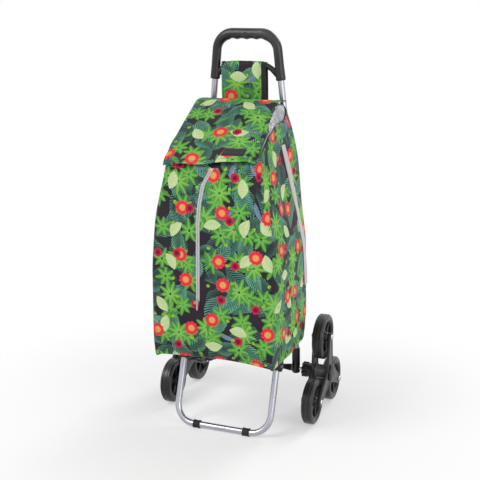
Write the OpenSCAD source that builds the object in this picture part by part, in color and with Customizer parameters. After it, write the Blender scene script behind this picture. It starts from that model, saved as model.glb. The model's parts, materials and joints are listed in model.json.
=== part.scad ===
/* [Wheels] */
// Diameter of each wheel over the tyre
wheel_d = 116; // [104:1:124]
// Width of the tyre tread
tyre_w = 28; // [22:1:32]
// Height of the tyre's rubber, from the rim to the tread
tyre_h = 15; // [11:1:18]
// Distance between the centres of two wheels in one cluster
wheel_pitch = 168; // [160:1:190]
// Length of the ribbed core between a sleeve and its wheel cluster
core_l = 28; // [22:1:32]
// Gap on the axle between a sleeve and the cluster's core
core_gap = 9; // [4:0.5:12]
// Diameter of the bolt that each wheel turns on
bolt_d = 8; // [6:0.5:10]

/* [Cluster] */
// Thickness of the two three-armed plates
plate_t = 7.5; // [6:0.5:9]
// Radius of a plate round the axle
plate_root_r = 23; // [19:1:27]
// Radius of a plate's arm at the wheel bolt
plate_tip_r = 11.5; // [9:0.5:13]
// Distance across the flats of the bearing block between the plates
block_flats = 36; // [30:1:44]
// Radius of the ribbed collar
collar_r = 20; // [17:1:24]
// Length of the ribbed collar
collar_l = 14; // [10:1:18]
// Diameter of the domed cap over the axle end
cap_d = 44; // [36:1:50]

/* [Frame tubes] */
// Outer diameter of the tubes
tube_d = 16; // [14:0.5:18]
// Wall of the tubes
tube_wall = 1.2; // [1:0.1:2]
// Distance from the centre plane to an upright at the axle
upright_half = 123; // [116:1:128]
// Distance from the centre plane to an upright at the grip
grip_half = 86.5; // [80:0.5:96]
// Height along the upright at which it starts to lean inwards
bend_up = 390; // [340:5:420]
// Height along the upright at which the grip starts
grip_up = 748; // [720:2:780]
// Radius of the bend in the uprights
bend_r = 150; // [100:5:200]
// Forward lean of the uprights, in degrees
lean = 3; // [0:0.5:5]
// Diameter of the axle
axle_d = 8; // [7:0.5:10]
// Diameter of the sleeve on each upright's foot
sleeve_d = 21; // [19:0.5:24]
// Height of the sleeve above the axle
sleeve_up = 58; // [44:1:66]
// Depth of the sleeve below the axle
sleeve_down = 12; // [10:1:16]

/* [Grip] */
// Diameter of the grip's legs
grip_leg_d = 22.5; // [20.5:0.5:25]
// Height of the hand bar
grip_bar_h = 27; // [24:0.5:30]
// Height of the whole grip above its lower ends
grip_h = 127; // [115:1:140]
// Radius of the grip's corners, to the middle of the leg
grip_corner_r = 42; // [32:1:50]
// Diameter of the cross bar between the legs
cross_d = 13.6; // [11:0.2:15]
// Height of the cross bar above the grip's lower ends
cross_up = 37; // [34:1:44]
// How far a tube goes up into the grip
tube_in_grip = 26; // [16:1:30]

/* [Stand] */
// Distance from the axle forward to the stand's pivot
pivot_reach = 160; // [150:1:170]
// Height of the stand's pivot above the axle
pivot_up = 65.5; // [60:0.5:70]
// Backward lean of the stand, in degrees
stand_lean = 20; // [14:1:24]
// Radius of the stand's lower corners
stand_corner_r = 48; // [34:1:60]
// Diameter of the rubber feet on the stand's bar
foot_d = 21; // [19.5:0.5:24]
// Width of a rubber foot
foot_w = 18; // [12:1:26]
// Distance from the centre plane to the middle of a foot
foot_half = 66; // [56:1:68]
// Diameter of the stand's pivot pins
pin_d = 6; // [5:0.5:8]

/* [Carrier] */
// Thickness of a support arm
arm_t = 5; // [4:0.5:6]
// Gap between a support arm and a sleeve
arm_gap = 1.2; // [0.6:0.1:2]
// Height of a support arm at its thinnest
arm_h = 9; // [7:0.5:12]
// Thickness of the bag rest
rest_t = 4; // [3:0.5:6]
// Thickness of the board in the bag's floor
board_t = 4; // [3:0.5:6]
// Thickness of a hinge block's cheek
cheek_t = 4; // [3:0.5:5]

/* [Bag] */
// Half of the bag's greatest width
bag_half = 156; // [148:1:160]
// Reach of the bag's front from the axle
bag_reach = 284; // [262:1:300]
// Bulge of the front panel
front_bulge = 5; // [2:0.5:7]
// Bulge of each side panel
side_bulge = 2; // [0:0.5:3]
// Height of the bag's floor
floor_z = 206; // [204:1:214]
// Height of the mouth at the front
mouth_front_z = 682; // [640:2:700]
// Height of the mouth at the back
mouth_back_z = 806; // [780:2:812]
// Thickness of the bag's fabric walls
fabric_t = 3; // [2:0.5:4]
// Depth of the silver lining that shows inside the mouth
lining_h = 45; // [20:1:80]
// Half of the flap's width
flap_half = 105; // [96:1:110]
// Overhang of the flap in front of the bag
flap_overhang = 16; // [12:1:24]
// Width of the hanging strap
strap_w = 110; // [90:1:116]
// Offset of the hanging strap's middle from the centre plane
strap_mid = -14; // [-16:1:-6]
// Width of the black tape beside the strap
tape_w = 12; // [8:1:16]
// Thickness of the strap
strap_t = 2; // [1.5:0.1:2.4]
// Width of the zip tape
zip_w = 9; // [6:0.5:12]
// Travel of the zip slider
zip_travel = 200; // [120:5:210]

/* [Hidden] */
$fn = 48;
cut = 1;
fit_gap = 0.05;
run_gap = 0.06;
seat_gap = 0.3;
part_gap = 0.4;

// Wheel cluster, measured from the axle and from the centre plane
SPOTS = ["top", "front", "rear"];
SPOT_ANGLES = [90, 210, 330];
spoke_r = wheel_pitch / sqrt(3);
axle_z = wheel_d / 2 + spoke_r / 2;
rim_w = tyre_w + 2;
rim_r = wheel_d / 2 - tyre_h;
plate_gap = 1;
core_x = upright_half + sleeve_d / 2 + core_gap;
inner_plate_x = core_x + core_l;
track_half = inner_plate_x + plate_t + plate_gap + rim_w / 2;
outer_plate_x = track_half + rim_w / 2 + plate_gap;
plate_face_x = outer_plate_x + plate_t;
barrel_r = collar_r - 1.5;
rib_n = 9;
rib_w = 6;
bolt_head_r = bolt_d * 0.8;
bolt_head_h = 4;
nut_r = bolt_d * 0.85;
nut_h = 5;
cap_h = 7;
cap_wall = 1.5;
axle_half = plate_face_x + 4;
retainer_t = 1.5;
retainer_r = axle_d;

// Front and rear ends of the whole trolley, so that its box is centred on y = 0
slider_t = 5;
tape_t = 0.8;
front_reach = max(bag_reach + flap_overhang, bag_reach + front_bulge + tape_t + slider_t + 2);
rear_reach = (wheel_pitch + wheel_d) / 2;
axle_y = (front_reach - rear_reach) / 2;

// Uprights and grip, measured along the upright from the axle
splay = atan((upright_half - grip_half) / (grip_up - bend_up));
bend_run = bend_r * tan(splay / 2);
upper_l = (grip_up - bend_up) / cos(splay) - bend_run;
tube_end = sleeve_down - 2;
bar_up = grip_h - grip_bar_h / 2;
corner_up = bar_up - grip_corner_r * (1 - sin(splay));
corner_half = grip_half - corner_up * tan(splay);
corner_turn = 90 - splay;
bar_half = corner_half - grip_corner_r * cos(splay);
fork_run = 34;
fork_drop = 24;
mould_step = 0.3;
mould_lap = 0.5;
corner_d = grip_leg_d - 2 * mould_step;
finger_r = 26;
finger_pitch = 25;
finger_dip = 2.2;

// Stand, measured from its pivot along the legs
pivot_y = axle_y - pivot_reach;
pivot_z = axle_z + pivot_up;
bar_z = foot_d / 2 - 0.5;
leg_l = (pivot_z - bar_z) / cos(stand_lean);
leg_top = 6;
slot_gap = 0.4;
slot_w = tube_d + 2 * slot_gap;
slot_r = norm([leg_top, tube_d / 2]) + 0.5;
block_r = slot_r + 4;
arm_out_x = upright_half - sleeve_d / 2 - arm_gap;
block_in_x = arm_out_x + seat_gap;
stand_half = block_in_x + cheek_t + slot_w / 2;
block_out_x = stand_half + slot_w / 2 + cheek_t;
fold_angle = 70;
pin_head_h = 2.5;
pin_head_r = pin_d * 0.8;
eye_r = axle_d / 2 + 5;

// Bag, with heights above the floor as shares of the bag's height
bag_h = mouth_front_z - floor_z;
loop_t = 1.6;
loop_h = 25;
loop_below_bend = 60;
loop_up = bend_up - loop_below_bend;
back_off = tube_d / 2 + loop_t + 2 * seat_gap;
BACK_SHAPE = [[0, 0.93], [0.1, 0.98], [0.25, 1], [0.55, 1], [0.7, 0.95], [0.85, 0.91],
              [1, 0.875], [1.14, 0.78], [1.26, 0.64]];
FRONT_SHAPE = [[0, 0.955], [0.08, 0.975], [0.2, 0.985], [0.45, 0.985], [0.6, 0.955],
               [0.72, 0.92], [0.83, 0.84], [0.92, 0.77], [1, 0.72]];
REACH_SHAPE = [[0, 10], [0.08, 4], [0.2, 0], [1, 0]];
rows = 14;
side_cols = 6;
front_cols = 10;
flap_t = 3;
mouth_run = 58;
mouth_rise = 6;
lining_rows = 2;
tape_lift = 0.6;
board_in = 8;
board_front_in = 38;
strap_tuck = 40;
strap_short = 20;

module on_side(side) {
    if (side < 0) mirror([1, 0, 0]) children();
    else children();
}

module at_axle() translate([0, axle_y, axle_z]) children();

module on_frame() at_axle() rotate([lean, 0, 0]) children();

// Turns a flat outline in y and z into a plate that grows along x
module across(x, t) translate([x, 0, 0]) rotate([90, 0, 90]) linear_extrude(t) children();

module rod_x(x, l, r) translate([x, 0, 0]) rotate([0, 90, 0]) cylinder(r = r, h = l);

// A bar with round ends of two radii
module tapered_bar(r0, r1, l) {
    b = (r0 - r1) / l;
    c = sqrt(1 - b * b);
    circle(r = r0);
    translate([l, 0]) circle(r = r1);
    polygon([[r0 * b, -r0 * c], [l + r1 * b, -r1 * c], [l + r1 * b, r1 * c], [r0 * b, r0 * c]]);
}

// Where a line from point p touches a circle of radius r round the origin
function touch(r, p) = let(a = atan2(p[1], p[0]) + acos(r / norm(p))) r * [cos(a), sin(a)];

// A bar with round ends of two radii and a neck of height h between them
module necked_bar(r0, r1, l, neck, h) {
    a = touch(r0, [neck, h / 2]);
    b = touch(r1, [l - neck, h / 2]);
    upper = [[l - b[0], b[1]], [neck, h / 2], a];
    lower = [for (i = [2:-1:0]) [upper[i][0], -upper[i][1]]];
    circle(r = r0);
    translate([l, 0]) circle(r = r1);
    polygon(concat(upper, lower));
}

// ---- wheels ----

module at_wheel(side, spot) {
    angle = SPOT_ANGLES[spot];
    on_side(side) at_axle()
        translate([track_half, spoke_r * cos(angle), spoke_r * sin(angle)])
            rotate([0, 90, 0]) children();
}

module tyre(side, spot) {
    shoulder = 4;
    bead = 2;
    color("dimgray") at_wheel(side, spot) rotate_extrude() union() {
        translate([rim_r, -tyre_w / 2 + bead]) square([shoulder, tyre_w - 2 * bead]);
        translate([rim_r + bead, -tyre_w / 2]) square([tyre_h - bead - shoulder, tyre_w]);
        translate([rim_r + bead, -tyre_w / 2 + shoulder])
            square([tyre_h - bead, tyre_w - 2 * shoulder]);
        for (end = [-1, 1])
            translate([rim_r + tyre_h - shoulder, end * (tyre_w / 2 - shoulder)]) circle(r = shoulder);
    }
}

module rim(side, spot) {
    barrel_t = 4;
    web_t = 6;
    hub_r = 12;
    spoke_n = 5;
    spoke_w = 5;
    seat_r = rim_r - fit_gap;
    color("black") at_wheel(side, spot) difference() {
        union() {
            difference() {
                cylinder(r = seat_r, h = tyre_w - 4, center = true);
                cylinder(r = seat_r - barrel_t, h = tyre_w, center = true);
            }
            cylinder(r = seat_r - barrel_t / 2, h = web_t, center = true);
            cylinder(r = hub_r, h = rim_w, center = true);
            for (i = [0:spoke_n - 1]) rotate(i * 360 / spoke_n)
                translate([hub_r / 2, -spoke_w / 2, -tyre_w / 3])
                    cube([seat_r - barrel_t / 2 - hub_r / 2, spoke_w, tyre_w * 2 / 3]);
        }
        cylinder(d = bolt_d + 2 * run_gap, h = rim_w + 2 * cut, center = true);
    }
}

module three_arms() {
    for (angle = SPOT_ANGLES) rotate(angle) tapered_bar(plate_root_r, plate_tip_r, spoke_r);
}

module cluster_plate(side, x) {
    color("dimgray") on_side(side) at_axle() difference() {
        across(x, plate_t) three_arms();
        rod_x(x - cut, plate_t + 2 * cut, axle_d / 2 + run_gap);
        for (angle = SPOT_ANGLES)
            translate([0, spoke_r * cos(angle), spoke_r * sin(angle)])
                rod_x(x - cut, plate_t + 2 * cut, bolt_d / 2 + fit_gap);
    }
}

module cluster_core(side) {
    root = barrel_r - 3;
    color("black") on_side(side) at_axle() difference() {
        union() {
            rod_x(core_x + collar_l, core_l - collar_l, barrel_r);
            rod_x(core_x + 0.5, collar_l, root);
            for (i = [0:rib_n - 1]) rotate([i * 360 / rib_n, 0, 0])
                translate([core_x, -rib_w / 2, root - 2])
                    cube([collar_l + 1, rib_w, collar_r - root + 2]);
        }
        rod_x(core_x - cut, core_l + 2 * cut, axle_d / 2 + run_gap);
    }
}

module bearing_block(side) {
    l = outer_plate_x - inner_plate_x - plate_t;
    corner_r = block_flats / sqrt(3);
    color("gray") on_side(side) at_axle() difference() {
        across(inner_plate_x + plate_t, l) rotate(30) circle(r = corner_r, $fn = 6);
        rod_x(inner_plate_x, l + 2 * plate_t, axle_d / 2 + run_gap);
    }
}

module hub_cap(side) {
    dome = 3;
    cavity_r = axle_half - plate_face_x + retainer_r;
    color("black") on_side(side) at_axle() difference() {
        rotate([0, 90, 0]) translate([0, 0, plate_face_x]) rotate_extrude() union() {
            square([cap_d / 2, cap_h - dome]);
            square([cap_d / 2 - dome, cap_h]);
            translate([cap_d / 2 - dome, cap_h - dome]) circle(r = dome);
        }
        rod_x(plate_face_x - cut, cut + cap_h - cap_wall, cavity_r);
        rod_x(plate_face_x - 2 * dome, 2 * dome, cap_d);
    }
}

module wheel_bolts(side) {
    color("silver") on_side(side) at_axle() for (angle = SPOT_ANGLES)
        translate([0, spoke_r * cos(angle), spoke_r * sin(angle)]) {
            rod_x(inner_plate_x - nut_h, plate_face_x - inner_plate_x + nut_h, bolt_d / 2);
            rod_x(plate_face_x, bolt_head_h, bolt_head_r);
        }
}

module wheel_nuts(side) {
    color("silver") on_side(side) at_axle() for (angle = SPOT_ANGLES)
        translate([0, spoke_r * cos(angle), spoke_r * sin(angle)]) difference() {
            across(inner_plate_x - nut_h, nut_h) circle(r = nut_r, $fn = 6);
            rod_x(inner_plate_x - nut_h - cut, nut_h + 2 * cut, bolt_d / 2 + fit_gap);
        }
}

// ---- frame ----

// Centre line of an upright, as a solid of the given diameter
module upright_run(d, bottom, top) {
    translate([upright_half, 0, -bottom]) cylinder(d = d, h = bottom + bend_up - bend_run);
    translate([upright_half - bend_r, 0, bend_up - bend_run]) rotate([90, 0, 0])
        rotate_extrude(angle = splay) translate([bend_r, 0]) circle(d = d);
    translate([upright_half, 0, bend_up]) rotate([0, -splay, 0]) translate([0, 0, bend_run])
        cylinder(d = d, h = upper_l + top);
}

module upright(side) {
    color("silver") on_side(side) on_frame() difference() {
        upright_run(tube_d, tube_end, tube_in_grip);
        upright_run(tube_d - 2 * tube_wall, tube_end + cut, tube_in_grip + cut);
        rod_x(0, 2 * upright_half, axle_d / 2 + fit_gap);
    }
}

module sleeve(side) {
    round_r = 3;
    color("black") on_side(side) on_frame() difference() {
        translate([upright_half, 0, -sleeve_down]) rotate_extrude() union() {
            translate([0, round_r]) square([sleeve_d / 2, sleeve_up + sleeve_down - round_r]);
            square([sleeve_d / 2 - round_r, round_r]);
            translate([sleeve_d / 2 - round_r, round_r]) circle(r = round_r);
        }
        translate([upright_half, 0, -tube_end - fit_gap])
            cylinder(d = tube_d + 2 * fit_gap, h = sleeve_up + tube_end + cut);
        rod_x(0, 2 * upright_half, axle_d / 2 + fit_gap);
    }
}

module grip_leg(side) on_side(side) translate([grip_half, 0, grip_up]) rotate([0, -splay, 0])
    cylinder(d = grip_leg_d, h = corner_up / cos(splay) + mould_lap);

module grip_corner(side) on_side(side)
    translate([bar_half, 0, grip_up + bar_up - grip_corner_r]) rotate([90, 0, 0]) rotate(splay)
        rotate_extrude(angle = corner_turn) translate([grip_corner_r, 0]) circle(d = corner_d);

// Hand bar with a cone at each end where it thins to the corners
module grip_bar() {
    cone_l = 10;
    rod_x(cone_l - bar_half, 2 * (bar_half - cone_l), grip_bar_h / 2);
    for (side = [-1, 1]) on_side(side) translate([bar_half - cone_l, 0, 0]) rotate([0, 90, 0])
        cylinder(d1 = grip_bar_h, d2 = grip_leg_d, h = cone_l + mould_lap);
}

// Bar between the legs, with ends that slope down to them
module cross_bar() {
    half = grip_half - cross_up * tan(splay) - fork_run;
    rod_x(-half, 2 * half, cross_d / 2);
    for (side = [-1, 1]) on_side(side) translate([half, 0, 0]) {
        sphere(d = cross_d + 2 * mould_step);
        rotate([0, 90 + atan(fork_drop / fork_run), 0])
            cylinder(d = cross_d, h = norm([fork_run, fork_drop]));
    }
}

module handle_grip() {
    bar_z0 = grip_up + bar_up;
    color("black") on_frame() difference() {
        union() {
            for (side = [-1, 1]) {
                grip_leg(side);
                grip_corner(side);
            }
            translate([0, 0, bar_z0]) grip_bar();
            translate([0, 0, grip_up + cross_up]) cross_bar();
        }
        // Finger rests under the hand bar
        for (i = [-1.5:1:1.5])
            translate([i * finger_pitch, 0, bar_z0 - grip_bar_h / 2 - finger_r + finger_dip])
                rotate([90, 0, 0]) cylinder(r = finger_r, h = 2 * grip_leg_d, center = true);
        for (side = [-1, 1]) on_side(side)
            translate([grip_half, 0, grip_up]) rotate([0, -splay, 0]) translate([0, 0, -cut])
                cylinder(d = tube_d + 2 * fit_gap, h = tube_in_grip + cut + fit_gap);
    }
}

module axle() color("silver") at_axle() rod_x(-axle_half, 2 * axle_half, axle_d / 2);

module axle_retainers() {
    color("silver") at_axle() for (side = [-1, 1]) on_side(side) difference() {
        rod_x(plate_face_x + seat_gap, retainer_t, retainer_r);
        rod_x(plate_face_x, 2 * retainer_t, axle_d / 2 + fit_gap);
    }
}

// ---- stand and its carrier ----

module support_arm(side) {
    pitch = atan2(pivot_up, -pivot_reach);
    reach = norm([pivot_up, pivot_reach]);
    color("black") on_side(side) at_axle() difference() {
        across(arm_out_x - arm_t, arm_t) rotate(pitch)
            necked_bar(eye_r, block_r - 4, reach, reach * 0.6, arm_h);
        rod_x(0, stand_half, axle_d / 2 + fit_gap);
        translate([0, -pivot_reach, pivot_up]) rod_x(0, stand_half, pin_d / 2 + fit_gap);
    }
}

// Space that a stand leg sweeps while it folds back
module leg_sweep() {
    l = 4 * block_r;
    rest = 270 - stand_lean;
    rotate(rest) translate([0, -slot_w / 2]) square([l, slot_w]);
    rotate(rest + fold_angle) translate([0, -slot_w / 2]) square([l, slot_w]);
    rotate(rest + fold_angle / 2) translate([0, -slot_w / 2]) square([l, slot_w]);
    circle(r = slot_r);
    polygon([[0, 0], for (k = [0:4]) l * [cos(rest + k * fold_angle / 4), sin(rest + k * fold_angle / 4)]]);
}

module block_outline() {
    circle(r = block_r);
    translate([-block_r, 0]) square([2 * block_r, block_r + 1]);
}

module hinge_block(side) {
    color("black") on_side(side) translate([0, pivot_y, pivot_z]) difference() {
        across(block_in_x, block_out_x - block_in_x) block_outline();
        across(stand_half - slot_w / 2, slot_w) leg_sweep();
        rod_x(0, 2 * stand_half, pin_d / 2 + fit_gap);
    }
}

module stand_pins() {
    shank_x = arm_out_x - arm_t;
    color("silver") translate([0, pivot_y, pivot_z]) for (side = [-1, 1]) on_side(side) {
        rod_x(shank_x - pin_head_h, block_out_x - shank_x + pin_head_h, pin_d / 2);
        rod_x(shank_x - pin_head_h, pin_head_h, pin_head_r);
        rod_x(block_out_x, pin_head_h, pin_head_r);
    }
}

module bag_rest() {
    top = floor_z - seat_gap;
    post_top = pivot_z + block_r + 1 + seat_gap;
    post_r = 6;
    rest_half = stand_half - 6;
    front_y = -pivot_reach - 12;
    collar_r_out = tube_d / 2 + 4;
    collar_up = 84;
    collar_run = 18;
    tab_w = 16;
    rear_y = -tan(lean) * (top - axle_z) - tube_d / 2 - 1;
    color("black") difference() {
        union() {
            translate([-rest_half, axle_y + front_y, top - rest_t])
                cube([2 * rest_half, rear_y - front_y, rest_t]);
            for (side = [-1, 1]) {
                translate([side * (stand_half - 2), pivot_y, post_top])
                    cylinder(r = post_r, h = top - post_top);
                on_frame() translate([side * upright_half, 0, collar_up])
                    cylinder(r = collar_r_out, h = top - axle_z - collar_up - 2);
                translate([side * rest_half - (side > 0 ? tab_w : 0), axle_y + rear_y - 4, top - rest_t])
                    cube([tab_w, 8, rest_t]);
            }
            translate([-rest_half, axle_y + front_y, top - rest_t - 6]) cube([2 * rest_half, 3, 6]);
        }
        for (side = [-1, 1]) on_frame() translate([side * upright_half, 0, collar_up - collar_run])
            cylinder(d = tube_d + 2 * fit_gap, h = 4 * collar_run);
    }
}

module in_stand() translate([0, pivot_y, pivot_z]) rotate([-stand_lean, 0, 0]) children();

// Centre line of the stand's bent tube, as a solid of the given diameter
module stand_run(d, top) {
    straight = leg_l - stand_corner_r;
    for (side = [-1, 1]) on_side(side) {
        translate([stand_half, 0, -straight]) cylinder(d = d, h = straight + top);
        translate([stand_half - stand_corner_r, 0, -straight]) rotate([90, 0, 0]) rotate(-90)
            rotate_extrude(angle = 90) translate([stand_corner_r, 0]) circle(d = d);
    }
    translate([0, 0, -leg_l])
        rod_x(stand_corner_r - stand_half, 2 * (stand_half - stand_corner_r), d / 2);
}

module stand_tube() {
    color("silver") in_stand() difference() {
        stand_run(tube_d, leg_top);
        stand_run(tube_d - 2 * tube_wall, leg_top + cut);
        rod_x(-2 * stand_half, 4 * stand_half, pin_d / 2 + run_gap);
    }
}

module foot(side) {
    color("black") difference() {
        in_stand() translate([0, 0, -leg_l]) difference() {
            rod_x(side * foot_half - foot_w / 2, foot_w, foot_d / 2);
            rod_x(side * foot_half - foot_w, 2 * foot_w, tube_d / 2 + fit_gap);
        }
        translate([-stand_half, axle_y - bag_reach, -foot_d]) cube([2 * stand_half, bag_reach, foot_d]);
    }
}

// ---- bag ----

function share(z) = (z - floor_z) / bag_h;
function back_half(z) = bag_half * lookup(share(z), BACK_SHAPE);
function front_half(z) = bag_half * lookup(share(z), FRONT_SHAPE);
function back_y(z) = axle_y - (z - axle_z) * tan(lean) - back_off / cos(lean);
function reach_y(z) = axle_y - bag_reach + lookup(share(z), REACH_SHAPE);
function front_y(x, z) = reach_y(z) - front_bulge * (1 - pow(min(1, abs(x) / front_half(z)), 2));
hinge_y = back_y(mouth_back_z) - fabric_t / 2;
function mouth_z(y) = lookup(y, [[axle_y - bag_reach, mouth_front_z],
                                 [hinge_y - mouth_run, mouth_back_z + mouth_rise],
                                 [hinge_y, mouth_back_z]]);

// Closed sheet between two grids of points, rows by columns
module sheet(outer, inner) {
    nr = len(outer);
    nc = len(outer[0]);
    n = nr * nc;
    points = [for (grid = [outer, inner]) for (row = grid) for (p = row) p];
    quads = concat(
        [for (i = [0:nr - 2]) for (j = [0:nc - 2])
            [i * nc + j, i * nc + j + 1, (i + 1) * nc + j + 1, (i + 1) * nc + j]],
        [for (i = [0:nr - 2]) for (j = [0:nc - 2])
            [n + i * nc + j, n + (i + 1) * nc + j, n + (i + 1) * nc + j + 1, n + i * nc + j + 1]],
        [for (j = [0:nc - 2]) [j, n + j, n + j + 1, j + 1]],
        [for (j = [0:nc - 2]) let(k = (nr - 1) * nc + j) [k, k + 1, n + k + 1, n + k]],
        [for (i = [0:nr - 2]) let(k = i * nc) [k, k + nc, n + k + nc, n + k]],
        [for (i = [0:nr - 2]) let(k = i * nc + nc - 1) [k, n + k, n + k + nc, k + nc]]);
    triangles = [for (q = quads) for (t = [[q[0], q[1], q[2]], [q[0], q[2], q[3]]]) t];
    polyhedron(points = points, faces = triangles);
}

// Point on the right side panel: t runs from back to front, v from floor to mouth
function column_y(t, z) = (1 - t) * (back_y(z) - fabric_t) + t * (reach_y(z) + fabric_t);
function column_top(t) = mouth_z(column_y(t, mouth_back_z));
function column_z(t, i) = let(top = column_top(t), seam = top - lining_h, n = rows - lining_rows)
    i < n ? floor_z + (seam - floor_z) * i / n : seam + lining_h * (i - n) / lining_rows;
function side_x(t, z) = (1 - t) * back_half(z) + t * front_half(z) + side_bulge * sin(180 * t);
function side_point(t, z, off) = [side_x(t, z) - off, column_y(t, z), z];
function side_grid(off, first) = [for (i = [first:rows]) [for (j = [0:side_cols])
    side_point(j / side_cols, column_z(j / side_cols, i), off)]];

module bag_side(side) color("darkslategray") on_side(side)
    sheet(side_grid(fabric_t, 0), side_grid(0, 0));

module mouth_lining() {
    lining_t = 1;
    gap = fabric_t + seat_gap;
    color("lightgray") for (side = [-1, 1]) on_side(side)
        sheet(side_grid(gap + lining_t, rows - lining_rows), side_grid(gap, rows - lining_rows));
}

function front_grid(off) = [for (i = [0:rows]) [for (j = [0:front_cols])
    let(z = floor_z + (mouth_front_z - floor_z) * i / rows,
        x = front_half(z) * (2 * j / front_cols - 1))
    [x, front_y(x, z) + off, z]]];

module bag_front() color("darkslategray") sheet(front_grid(0), front_grid(fabric_t));

function back_grid(off) = [for (i = [0:rows])
    let(z = floor_z + (mouth_back_z - floor_z) * i / rows)
    [for (j = [-1:1:1]) [j * back_half(z), back_y(z) - off, z]]];

module bag_back() color("darkslategray") sheet(back_grid(fabric_t), back_grid(0));

// Four-cornered plate that fills the bag's plan at height z, held in by margins
module floor_plate(z, t, margin, front_margin) {
    fw = front_half(z) - margin;
    bw = back_half(z) - margin;
    fy = reach_y(z) + front_margin;
    by = back_y(z) - margin;
    translate([0, 0, z]) linear_extrude(t) polygon([[-fw, fy], [fw, fy], [bw, by], [-bw, by]]);
}

module bag_floor() color("black") floor_plate(floor_z, fabric_t, fabric_t + 0.5, fabric_t + 0.5);

module base_board() color("black")
    floor_plate(floor_z + fabric_t + seat_gap, board_t, board_in, board_front_in);

// Side outline of the flap's outer face, from the hinge to the front edge
hinge_pos = [hinge_y, mouth_back_z + flap_t + seat_gap];
crown = hinge_pos + [-mouth_run, mouth_rise];
lip = [axle_y - bag_reach - flap_overhang, mouth_front_z - 2];
FLAP = [hinge_pos, hinge_pos + [-mouth_run / 2, mouth_rise / 2 + 1], crown, crown + [-18, -7],
        lip + [33, 33], lip + [8, 15], lip];
function unit(v) = v / norm(v);
function inward(p, i) = let(a = p[max(0, i - 1)], b = p[min(len(p) - 1, i + 1)], d = unit(b - a))
    [-d[1], d[0]];

module flap_outline(p, t) {
    inner = [for (i = [len(p) - 1:-1:0]) p[i] + t * inward(p, i)];
    polygon(concat(p, inner));
}

module bag_flap() color("darkslategray")
    across(-flap_half, 2 * flap_half) flap_outline(FLAP, flap_t);

module flap_label() {
    label_w = 44;
    label_h = 17;
    label_x = 31;
    label_t = 1;
    a = FLAP[4];
    b = FLAP[5];
    dir = unit(b - a);
    mid = (a + b) / 2 - 0.2 * inward([a, b], 0);
    color("black") across(label_x, label_w)
        polygon([mid + dir * label_h / 2, mid - dir * label_h / 2,
                 mid - dir * label_h / 2 - label_t * inward([a, b], 0),
                 mid + dir * label_h / 2 - label_t * inward([a, b], 0)]);
}

ZIP_LINE = [[0.29, -30], [0.72, -28], [0.82, -23], [0.91, -14], [1, 12]];
zip_low = 0.29;
function zip_x(z) = lookup(share(z), ZIP_LINE);
function zip_grid(off) = [for (i = [0:rows])
    let(z = floor_z + bag_h * (zip_low + (0.99 - zip_low) * i / rows))
    [for (j = [-1:1:1]) let(x = zip_x(z) + j * zip_w / 2) [x, front_y(x, z) - off, z]]];

module zip_tape() color("gainsboro") sheet(zip_grid(seat_gap + tape_t), zip_grid(seat_gap));

slider_z = floor_z + bag_h * zip_low + 10;
slider_x = zip_x(slider_z);
slider_back = reach_y(slider_z) - front_bulge - tape_t - 2 * seat_gap;
slider_w = 8;
slider_h = 11;
body_t = 2.5;
eye_z = slider_z + slider_h / 2;

module at_slider() translate([slider_x, slider_back, eye_z]) children();

module zip_slider() {
    ear_w = 1.8;
    color("silver") at_slider() difference() {
        union() {
            translate([-slider_w / 2, -body_t, -slider_h / 2]) cube([slider_w, body_t, slider_h]);
            for (side = [-1, 1]) translate([side * (slider_w / 2 - ear_w / 2) - ear_w / 2, -slider_t, -1.5])
                cube([ear_w, slider_t, 3]);
        }
        for (side = [-1, 1]) translate([0, -slider_t + 1.5, 0]) rod_x(-slider_w, 2 * slider_w, 0.7);
    }
}

module zip_pull() {
    tab_w = 3.6;
    tab_l = 22;
    tab_t = 1.2;
    color("silver") at_slider() translate([0, -slider_t + 1.5, 0]) {
        rod_x(-slider_w / 2, slider_w, 0.64);
        translate([-tab_w / 2, -tab_t / 2, -tab_l]) cube([tab_w, tab_t, tab_l]);
    }
}

SIDE_TAPE = [[0.31, 0.1], [0.43, 0.13], [0.6, 0.19], [0.72, 0.24], [0.85, 0.35], [0.96, 0.42],
             [1.07, 0.49]];
function tape_grid(off) = [for (i = [0:rows])
    let(s = 0.31 + (1.07 - 0.31) * i / rows, z = floor_z + bag_h * s, t = lookup(s, SIDE_TAPE))
    [for (j = [-1:1:1]) side_point(t + 0.025 * j, z, -off)]];

module side_tapes() color("lightgray") for (side = [-1, 1]) on_side(side)
    sheet(tape_grid(tape_lift), tape_grid(tape_lift + tape_t));

// Side outline of a strap that hangs over the cross bar
module strap_outline() {
    in_r = cross_d / 2 + seat_gap;
    out_r = in_r + strap_t;
    top = grip_up + cross_up;
    front_drop = top - (mouth_back_z - axle_z - strap_tuck) / cos(lean);
    difference() {
        union() {
            circle(r = out_r);
            translate([-out_r, -front_drop]) square([out_r, front_drop]);
            translate([0, strap_short - front_drop]) square([out_r, front_drop - strap_short]);
        }
        circle(r = in_r);
        translate([-in_r, -2 * front_drop]) square([2 * in_r, 2 * front_drop]);
    }
}

module strap_band(x, w) on_frame() translate([0, 0, grip_up + cross_up]) across(x, w) strap_outline();

module hanging_strap() color("darkslategray") strap_band(strap_mid - strap_w / 2, strap_w);

module strap_tape() color("black") strap_band(strap_mid + strap_w / 2 + 0.2, tape_w);

module upright_loops() {
    ring_r = tube_d / 2 + 0.1;
    color("black") on_frame() for (side = [-1, 1])
        translate([side * upright_half, 0, loop_up]) difference() {
            cylinder(r = ring_r + loop_t, h = loop_h);
            translate([0, 0, -cut]) cylinder(r = ring_r, h = loop_h + 2 * cut);
        }
}

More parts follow.
